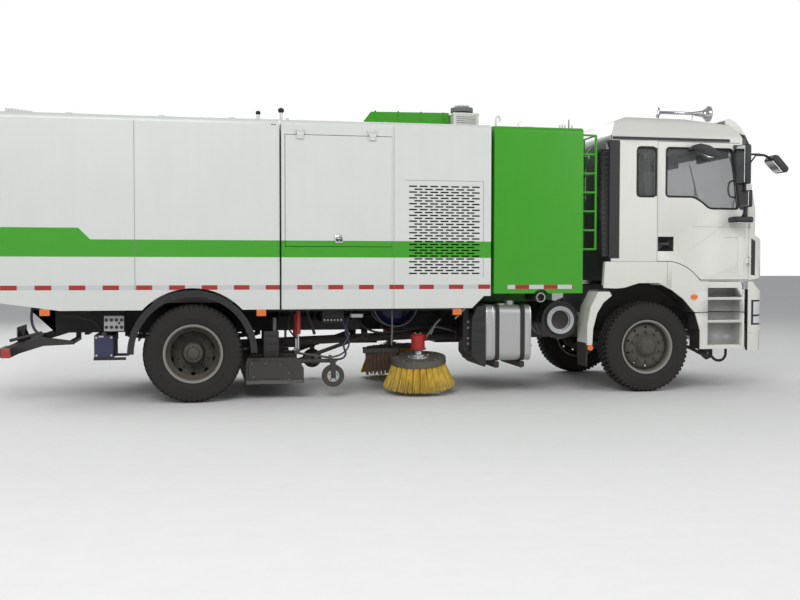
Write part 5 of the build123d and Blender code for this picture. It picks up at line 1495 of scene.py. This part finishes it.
    @staticmethod
    def guards():
        """Ribs and bolts on the round rear guards, flaps and side reflectors behind the front wheels."""
        guard = Shape(mirrored=True)
        for radius in (0.606, 0.622, 0.638):
            rib = band((-0.003, 0.003), (radius - 0.004, radius + 0.004), (0, -1.2365, AXLE_Z), steps=96)
            bmesh.ops.bisect_plane(rib, geom=rib.verts[:] + rib.edges[:] + rib.faces[:], plane_co=(0, 0, 0.512),
                                   plane_no=(0, 0, -1), clear_outer=True)
            bmesh.ops.holes_fill(rib, edges=[e for e in rib.edges if e.is_boundary])
            guard.add(rib, "guard_black")
        for turn in (15, 50, 90, 130, 165):
            a = math.radians(turn)
            guard.add(bolt((0.622 * math.cos(a), -1.237, AXLE_Z + 0.622 * math.sin(a)), (0, -1, 0), 0.009),
                      "chassis_black")
        guard.add(turned([(0.0, 0.0), (0.003, 0.030), (0.016, 0.034), (0.016, 0.0)], (4.297, -1.262, 0.512),
                         (0, 1, 0), 24), "amber")
        flap = [(4.250, 0.56), (4.262, 0.30), (4.276, 0.30), (4.284, 0.56)]
        guard.add(plate(flap, (-1.22, -0.96), edge=0.003), "rubber")
        guard.place("guard_fittings", "chassis", "guard_black")


# Cab


DOOR_PANE = [(5.182, 2.732), (5.182, 2.190), (5.510, 2.190), (5.600, 2.145), (5.706, 2.062), (6.066, 2.062),
             (5.978, 2.732)]


def loop_of(points, y):
    return [(x, y, z) for x, z in points]


def step_tread(shape, x_limits, z, first, pitch, wide):
    """Tread of a step on both sides of the cab, with seven raised bars."""
    out = -HALF_WIDTH
    shape.add(block(x_limits, (out - 0.004, out + 0.20), (z, z + 0.020), 0.006, 2), "tread_white", both=True)
    for i in range(7):
        x = first + i * pitch
        shape.add(block((x, x + wide), (out + 0.004, out + 0.18), (z + 0.017, z + 0.023), 0.002),
                  "bright_metal", both=True)


class SWEEPER_OT_cab_outside(bpy.types.Operator):
    """Adds window rubbers, wipers, steps, seams, lamps and mirrors to the cab"""

    bl_idname = "sweeper.cab_outside"
    bl_label = "Cab outside"

    def execute(self, context):
        self.shell()
        self.fenders()
        self.bumper()
        for side, place in SIDES:
            self.door(side, place)
        return {"FINISHED"}

    @staticmethod
    def shell():
        """Rubbers, wipers, grille slats, rear louvres and the front mirror's glass on the cab."""
        cab = Shape()
        out = -HALF_WIDTH
        quarter = eased([(4.835, 2.186), (4.835, 2.733), (5.056, 2.733), (5.056, 2.186)], 0.045, 4)
        cab.add(hose(loop_of(quarter, out), 0.010, "VECTOR", True), "rubber", both=True)
        cab.add(block((5.056, 5.074), (out - 0.002, out + 0.03), (2.19, 2.73), 0.004), "rubber", both=True)
        cab.add(plate(eased([(6.226, 1.735), (6.262, 1.705), (6.262, 1.312), (6.226, 1.312)], 0.012),
                      (out - 0.003, out + 0.02), edge=0.003), "trim_black", both=True)
        cab.add(hose([(6.268, out + 0.006, 1.705), (6.268, out + 0.006, 1.308)], 0.010, "VECTOR"), "rubber",
                both=True)
        cab.add(block((4.53, 5.07), span(out, 0.001), (1.463, 1.467), 0), "seam", both=True)
        screen_low, screen_high = Vector((6.332, 0, 2.075)), Vector((6.149, 0, 2.832))
        edge = [(screen_low.x + 0.006, y, screen_low.z) for y in (-1.10, 1.10)] + [
            (screen_high.x + 0.006, y, screen_high.z) for y in (1.10, -1.10)]
        cab.add(hose(edge, 0.014, "VECTOR", True), "rubber")
        for y in (-0.55, 0.45):
            pivot = Vector((6.357, y, 2.03))
            tip = screen_low + (screen_high - screen_low) * 0.48 + Vector((0.03, y - 0.25, 0))
            cab.add(hose([pivot, pivot + (tip - pivot) * 0.5 + Vector((0.02, 0, 0)), tip], 0.008), "trim_black")
            cab.add(hose([tip + Vector((0.055, -0.03, -0.27)), tip + Vector((-0.062, 0.03, 0.27))], 0.007,
                         "VECTOR"), "rubber")
            cab.add(rod(pivot - Vector((0.03, 0, 0)), pivot + Vector((0.012, 0, 0)), 0.02, sides=14),
                    "trim_black")
        for i in range(6):
            z = 1.352 + i * 0.052
            cab.add(block((6.412, 6.424), (-0.985, 0.985), (z, z + 0.018), 0.005), "rod_chrome" if i == 5
                    else "trim_black")
        cab.add(block((6.325, 6.345), (-1.02, 1.02), (1.80, 1.93), 0.008, 2), "cab_white")
        for side in (-1, 1):
            cab.add(hose([(6.335, side * 0.95, 1.84), (6.385, side * 0.95, 1.86), (6.385, side * 0.60, 1.86),
                          (6.335, side * 0.60, 1.84)], 0.012, "VECTOR"), "trim_black")
        for i in range(40):
            z = 1.545 + i * 0.029
            cab.add(block((4.428, 4.433), (-1.23, -1.09), (z, z + 0.012), 0.002), "trim_black")
        for i in range(20):
            z = 1.56 + i * 0.058
            cab.add(block((4.44, 4.498), (-1.2445, -1.239), (z, z + 0.020), 0.002), "rubber")
        cab.add(hose([(6.34, -1.159, 2.686), (6.44, -1.15, 2.683), (6.53, -1.12, 2.645)], 0.014), "trim_black")
        cab.add(plate([(6.507, 2.623), (6.633, 2.499), (6.6295, 2.4954), (6.5035, 2.6194)], (-1.205, -1.03),
                      edge=0.001), "mirror_glass")
        cab.add(block((5.05, 5.35), (-0.62, 0.62), (3.09, 3.105), 0.01, 2), "cab_white")
        cab.place("cab_trim_fittings", "cab", "trim_black")

    @staticmethod
    def fenders():
        """Side lamps, upper step treads, seam and raised line of the front fenders."""
        lower = Shape(mirrored=True)
        out = -HALF_WIDTH
        for profile, wide, finish in (
            ([(0.0, 0.0), (0.004, 0.030), (0.018, 0.036), (0.018, 0.0)], 1.35, "amber"),
            ([(0.010, 0.0), (0.010, 0.040), (0.018, 0.042), (0.018, 0.0)], 1.3, "white_plastic"),
        ):
            oval = Matrix.Translation((5.530, out - 0.014, 1.067)) @ Matrix.Diagonal((wide, 1, 1, 1))
            lower.add(moved(turned(profile, steps=28), oval), finish)
        step_tread(lower, (5.695, 6.075), 1.043, 5.725, 0.050, 0.027)
        lower.add(block((5.204, 5.207), span(out, 0.001), (1.20, 1.458), 0), "seam")
        lower.add(hose([(4.60, out + 0.001, 1.170), (4.70, out + 0.001, 1.181), (4.865, out + 0.001, 1.231),
                        (5.10, out + 0.001, 1.231), (5.262, out + 0.001, 1.150), (5.40, out + 0.001, 1.049),
                        (5.494, out + 0.001, 0.948), (5.54, out + 0.001, 0.90)], 0.006), "cab_white")
        lower.place("fender_fittings", "cab", "cab_white")

    @staticmethod
    def bumper():
        """Lower step treads, lamp glasses, slots and plate of the bumper, and the bent bars behind it."""
        base = Shape()
        out = -HALF_WIDTH
        step_tread(base, (5.705, 6.105), 0.785, 5.735, 0.052, 0.028)
        base.add(block((6.186, 6.193), (out - 0.002, out + 0.04), (0.46, 1.15), 0.002), "trim_black", both=True)
        base.add(block((6.20, 6.25), (out - 0.0012, out + 0.01), (0.655, 0.658), 0), "seam", both=True)
        for side in (-1, 1):
            for y in (0.96, 1.08):
                base.add(turned([(0, 0.0), (-0.012, 0.035), (-0.004, 0.048), (0.012, 0.050), (0.012, 0.0)],
                                (6.396, side * y, 0.888), (1, 0, 0), 28), "mirror_glass")
            base.add(turned([(0, 0.0), (0.004, 0.040), (-0.004, 0.048), (-0.02, 0.048), (-0.02, 0.0)],
                            (6.397, side * 0.98, 0.60), (1, 0, 0), 28), "mirror_glass")
            base.add(block((6.389, 6.398), (side * 0.90, side * 1.08), (0.53, 0.67), 0.004), "trim_black")
        for z in (0.50, 0.56, 0.95, 1.01):
            base.add(block((6.389, 6.399), (-0.80, 0.80), (z, z + 0.024), 0.005), "trim_black")
        base.add(block((6.392, 6.402), (-0.24, 0.24), (0.66, 0.80), 0.005), "white_plastic")
        base.add(hose([(5.62, -0.62, 0.50), (5.80, -0.64, 0.44), (5.95, -0.62, 0.37), (6.10, -0.5, 0.34)],
                      0.02), "chassis_black")
        base.add(hose([(5.88, -0.9, 0.47), (5.94, -0.9, 0.36), (6.02, -0.9, 0.31), (6.10, -0.9, 0.34),
                       (6.12, -0.9, 0.46)], 0.016), "chassis_black")
        base.place("bumper_fittings", "chassis", "cab_white")

    @staticmethod
    def door(side, place):
        """Window rubber, seams, handle and mirror glasses of one door."""
        door = Shape()
        out = side * HALF_WIDTH
        pane = eased(DOOR_PANE, 0.04, 4)
        door.add(hose(loop_of(pane, out), 0.011, "VECTOR", True), "rubber")
        door.add(hose(loop_of(pane, out - side * 0.03), 0.012, "VECTOR", True), "rubber")
        door.add(hose([(5.40, out, 1.560), (5.66, out, 1.72), (5.88, out, 1.88), (6.12, out, 2.03)], 0.0035),
                 "cab_white")
        for x_low, z in ((5.50, 1.855), (5.90, 1.735)):
            door.add(block((x_low, 6.17), (out - side * 0.001, out + side * 0.0012), (z, z + 0.003), 0), "seam")
        door.add(plate(eased([(5.985, 2.78), (6.054, 2.78), (6.173, 2.06), (6.079, 2.05)], 0.015),
                       (out - side * 0.002, out + side * 0.006), edge=0.002), "trim_black")
        door.add(block((5.10, 5.225), (side * 1.237, side * 1.2495), (1.642, 1.678), 0.005, 2), "trim_black")
        door.add(hose([(6.06, side * 1.205, 2.196), (5.99, side * 1.195, 2.205), (5.972, side * 1.19, 2.24),
                       (5.972, side * 1.19, 2.34), (5.985, side * 1.195, 2.372), (6.03, side * 1.205, 2.38)],
                       0.011), "trim_black")
        door.add(block((6.06, 6.13), (out - side * 0.001, out + side * 0.004), (1.30, 1.75), 0.004),
                 "door_white")
        y0, y1 = side * 1.34, side * 1.51
        door.add(block((5.979, 5.987), (y0, y1), (2.34, 2.75), 0.003), "mirror_glass")
        door.add(block((6.031, 6.039), (y0, y1), (2.085, 2.245), 0.003), "mirror_glass")
        door.add(block((5.93, 6.10), (side * 1.32, side * 1.46), (1.895, 1.902), 0.003), "mirror_glass")
        door.add(block((6.048, 6.068), (side * 1.345, side * 1.505), (2.345, 2.745), 0.012, 3), "trim_black")
        door.add(hose([(6.02, side * 1.26, 2.715), (6.035, side * 1.34, 2.72), (6.040, side * 1.36, 2.5),
                       (6.055, side * 1.37, 2.2), (6.065, side * 1.36, 2.0), (6.075, side * 1.27, 1.955)],
                       0.012), "trim_black")
        if side < 0:
            door.add(plate(eased([(5.43, 2.688), (5.735, 2.640), (5.735, 2.618), (5.60, 2.618)], 0.008),
                           (-1.425, -1.305), edge=0.002), "mirror_glass")
        door.place("door_fittings_" + place, "door_" + place, "trim_black")


class SWEEPER_OT_cab_inside(bpy.types.Operator):
    """Makes the seats, the dash and the driver's controls"""

    bl_idname = "sweeper.cab_inside"
    bl_label = "Cab inside"

    def execute(self, context):
        for y, place in ((-0.64, "passenger"), (0.64, "driver")):
            seat = Shape()
            seat.add(block((5.27, 5.78), span(y, 0.25), (1.755, 1.86), 0.045, 4), "seat_grey")
            for dy in (-0.215, 0.215):
                seat.add(block((5.29, 5.77), (y + dy - 0.045, y + dy + 0.045), (1.79, 1.885), 0.035, 4),
                         "seat_grey")
            lean = Matrix.Translation((5.27, y, 1.80)) @ Matrix.Rotation(math.radians(-7.5), 4, "Y")
            seat.add(moved(block((-0.055, 0.065), (-0.235, 0.235), (0.0, 0.66), 0.045, 4), lean), "seat_grey")
            for dy in (-0.205, 0.205):
                seat.add(moved(block((0.02, 0.095), span(dy, 0.045), (0.08, 0.58), 0.03, 4), lean),
                         "seat_grey")
            seat.add(moved(block((-0.045, 0.055), (-0.13, 0.13), (0.70, 0.87), 0.04, 4), lean), "seat_grey")
            piece = seat.place("seat_cushions_" + place, "cab", "seat_grey", 50)
            frame_shape = Shape()
            for dy in (-0.06, 0.06):
                frame_shape.add(moved(rod((0, dy, 0.62), (0, dy, 0.76), 0.007, sides=8), lean), "rod_chrome")
            frame_shape.add(block((5.30, 5.72), span(y, 0.22), (1.30, 1.345), 0.01, 2), "trim_black")
            frame_shape.place("seat_frame_" + place, "cab", "trim_black")
        dash = Shape()
        dash.add(block((5.985, 6.12), (0.40, 0.90), (1.90, 2.04), 0.035, 3), "dash_grey")
        dash.add(block((5.982, 6.05), (-0.30, 0.30), (1.76, 1.95), 0.02, 2), "dash_grey")
        for y in (-0.9, -0.15, 0.15, 1.05):
            dash.add(turned([(0, 0.0), (-0.006, 0.03), (-0.002, 0.038), (0.02, 0.038), (0.02, 0.0)],
                            (5.982, y, 1.90), (1, 0, 0), 20), "trim_black")
        dash.add(rod((5.90, 0.22, 1.56), (5.86, 0.22, 1.86), 0.009, sides=10), "rod_chrome")
        dash.add(turned([(0, 0.0), (0.01, 0.022), (0.035, 0.026), (0.055, 0.016), (0.06, 0.0)],
                        (5.858, 0.22, 1.85), (0, 0, 1), 16), "trim_black")
        for y in (-1.05, 1.05):
            dash.add(block((5.3, 5.95), span(y, 0.06), (2.86, 2.93), 0.03, 3), "seat_grey")
        dash.add(block((6.05, 6.075), (-1.0, -0.25), (2.66, 2.84), 0.012, 2), "seat_grey", both=True)
        dash.place("dash_fittings", "cab", "seat_grey")
        return {"FINISHED"}


class SWEEPER_OT_rear_door(bpy.types.Operator):
    """Adds ribs, hooks, lamps and a drain to the rear door"""

    bl_idname = "sweeper.rear_door_gear"
    bl_label = "Rear door fittings"

    def execute(self, context):
        door = Shape()
        back = BOX_REAR
        for y in (-1.10, -0.55, 0.0, 0.55, 1.10):
            door.add(block((back - 0.034, back + 0.002), span(y, 0.035), (1.16, 2.80), 0.012, 2),
                     "body_white")
        for z in (1.17, 1.95, 2.76):
            door.add(block((back - 0.030, back + 0.002), (-1.20, 1.20), span(z, 0.03), 0.010, 2),
                     "body_white")
        for side in (-1, 1):
            door.add(rod((back - 0.045, side * 1.16, 1.25), (back - 0.045, side * 1.16, 2.6), 0.016, sides=12),
                     "rod_chrome")
            for z in (1.3, 1.9, 2.5):
                door.add(block((back - 0.064, back + 0.002), (side * 1.13, side * 1.19), (z, z + 0.05), 0.006),
                         "chassis_black")
            door.add(block((back - 0.045, back), (side * 0.62, side * 0.92), (2.62, 2.70), 0.012, 2),
                     "tail_red")
            door.add(plate([(back, 1.30), (back - 0.06, 1.27), (back - 0.075, 1.19), (back - 0.05, 1.14),
                            (back, 1.16)], (side * 0.86, side * 0.90)), "chassis_black")
        for i in range(8):
            y = -1.2 + i * 0.305
            door.add(block((back - 0.038, back - 0.0285), (y, y + 0.15), (1.148, 1.19), 0.001), "tail_red")
            door.add(block((back - 0.038, back - 0.0285), (y + 0.152, y + 0.303), (1.148, 1.19), 0.001),
                     "white_plastic")
        door.add(turned([(0, 0.0), (0, 0.075), (-0.02, 0.085), (-0.05, 0.085), (-0.05, 0.05), (-0.052, 0.0)],
                        (back, -0.28, 1.36), (1, 0, 0), 28), "cast")
        door.add(hose([(back - 0.05, -0.28, 1.36), (back - 0.075, -0.28, 1.30), (back - 0.06, -0.28, 1.15),
                       (back - 0.05, -0.28, 0.95)], 0.035), "blue_hose")
        door.place("rear_door_fittings", "rear_door", "body_white")
        return {"FINISHED"}


# Stage

CAMERA_PLACE = (-2.100, -11.756, 1.417)
CAMERA_TURN = (11.10, -1.96, 0.07)
FOCAL_PIXELS = 1009
PICTURE_PIXELS = 800


class SWEEPER_OT_stage(bpy.types.Operator):
    """Sets the floor, the soft lights and the camera"""

    bl_idname = "sweeper.stage"
    bl_label = "Stage"

    def execute(self, context):
        scene = context.scene
        scene.view_settings.view_transform = "Standard"
        part = bmesh.new()
        bmesh.ops.create_grid(part, x_segments=1, y_segments=1, size=120,
                              matrix=Matrix.Translation((0, 0, -0.002)))
        mesh = bpy.data.meshes.new("floor")
        part.to_mesh(mesh)
        part.free()
        floor = bpy.data.objects.new("floor", mesh)
        scene.collection.objects.link(floor)
        look = Look("floor")
        speckle = look.noise(5, 3, 0.6)
        mesh.materials.append(look.finish(look.shade(**{
            "Base Color": look.mix(speckle, (0.78, 0.78, 0.77, 1), (0.84, 0.84, 0.83, 1)), "Roughness": 0.9})))

        world = bpy.data.worlds.new("studio")
        world.use_nodes = True
        scene.world = world
        tree = world.node_tree
        tree.nodes.clear()
        path = tree.nodes.new("ShaderNodeLightPath")
        seen = tree.nodes.new("ShaderNodeMath")
        seen.operation = "MAXIMUM"
        for socket, ray in enumerate(("Is Camera Ray", "Is Transmission Ray")):
            tree.links.new(path.outputs[ray], seen.inputs[socket])
        mixed = tree.nodes.new("ShaderNodeMixShader")
        tree.links.new(seen.outputs[0], mixed.inputs[0])
        for socket, colour, strength in ((1, (0.96, 0.98, 1.0, 1), 0.40), (2, (1, 1, 1, 1), 1.0)):
            shade = tree.nodes.new("ShaderNodeBackground")
            shade.inputs["Color"].default_value = colour
            shade.inputs["Strength"].default_value = strength
            tree.links.new(shade.outputs[0], mixed.inputs[socket])
        end = tree.nodes.new("ShaderNodeOutputWorld")
        tree.links.new(mixed.outputs[0], end.inputs[0])

        for name, place, aim, size, power in (
            ("key", (-4.5, -13.0, 9.0), (0.3, 0, 1.2), 7.0, 930),
            ("fill", (9.0, -9.0, 6.0), (1.0, 0, 1.4), 8.0, 400),
            ("back", (0.0, 11.0, 8.0), (0, 0, 1.5), 9.0, 580),
            ("tail", (-11.0, 2.0, 6.0), (-2, 0, 1.4), 6.0, 330),
        ):
            lamp = bpy.data.lights.new(name, "AREA")
            lamp.shape = "SQUARE"
            lamp.size = size
            lamp.energy = power
            holder = bpy.data.objects.new(name, lamp)
            holder.location = place
            holder.rotation_euler = (Vector(aim) - Vector(place)).to_track_quat("-Z", "Y").to_euler()
            scene.collection.objects.link(holder)

        yaw, pitch, roll = (math.radians(angle) for angle in CAMERA_TURN)
        view = bpy.data.cameras.new("camera")
        view.lens = 36 * FOCAL_PIXELS / PICTURE_PIXELS
        view.sensor_width = 36
        view.clip_end = 500
        holder = bpy.data.objects.new("camera", view)
        holder.location = CAMERA_PLACE
        way = Vector((math.sin(yaw) * math.cos(pitch), math.cos(yaw) * math.cos(pitch), math.sin(pitch)))
        turn = way.to_track_quat("-Z", "Y").to_matrix() @ Matrix.Rotation(roll, 3, "Z")
        holder.rotation_euler = turn.to_euler()
        scene.collection.objects.link(holder)
        scene.camera = holder
        return {"FINISHED"}


STEPS = (SWEEPER_OT_paint, SWEEPER_OT_fitted, SWEEPER_OT_tyres, SWEEPER_OT_wheels, SWEEPER_OT_side_brushes,
         SWEEPER_OT_brush_gear, SWEEPER_OT_nozzle_gear, SWEEPER_OT_grilles, SWEEPER_OT_body_trim,
         SWEEPER_OT_roof_gear, SWEEPER_OT_chassis_gear, SWEEPER_OT_cab_outside, SWEEPER_OT_cab_inside,
         SWEEPER_OT_rear_door, SWEEPER_OT_stage)


class SWEEPER_PT_panel(bpy.types.Panel):
    """Lists the steps that build the truck"""

    bl_idname = "SWEEPER_PT_panel"
    bl_label = "Street sweeper truck"
    bl_space_type = "VIEW_3D"
    bl_region_type = "UI"
    bl_category = "Sweeper"

    def draw(self, context):
        for name in SweeperSettings.__annotations__:
            self.layout.prop(context.scene.sweeper, name)
        for step in STEPS:
            self.layout.operator(step.bl_idname)


def register():
    bpy.utils.register_class(SweeperSettings)
    bpy.types.Scene.sweeper = bpy.props.PointerProperty(type=SweeperSettings)
    for step in STEPS:
        bpy.utils.register_class(step)
    bpy.utils.register_class(SWEEPER_PT_panel)


def unregister():
    bpy.utils.unregister_class(SWEEPER_PT_panel)
    for step in reversed(STEPS):
        bpy.utils.unregister_class(step)
    del bpy.types.Scene.sweeper
    bpy.utils.unregister_class(SweeperSettings)


def main():
    register()
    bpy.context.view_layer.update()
    for step in STEPS:
        group, name = step.bl_idname.split(".")
        getattr(getattr(bpy.ops, group), name)()
    bpy.data.meshes.remove(SCRATCH)


if __name__ == "__main__":
    main()
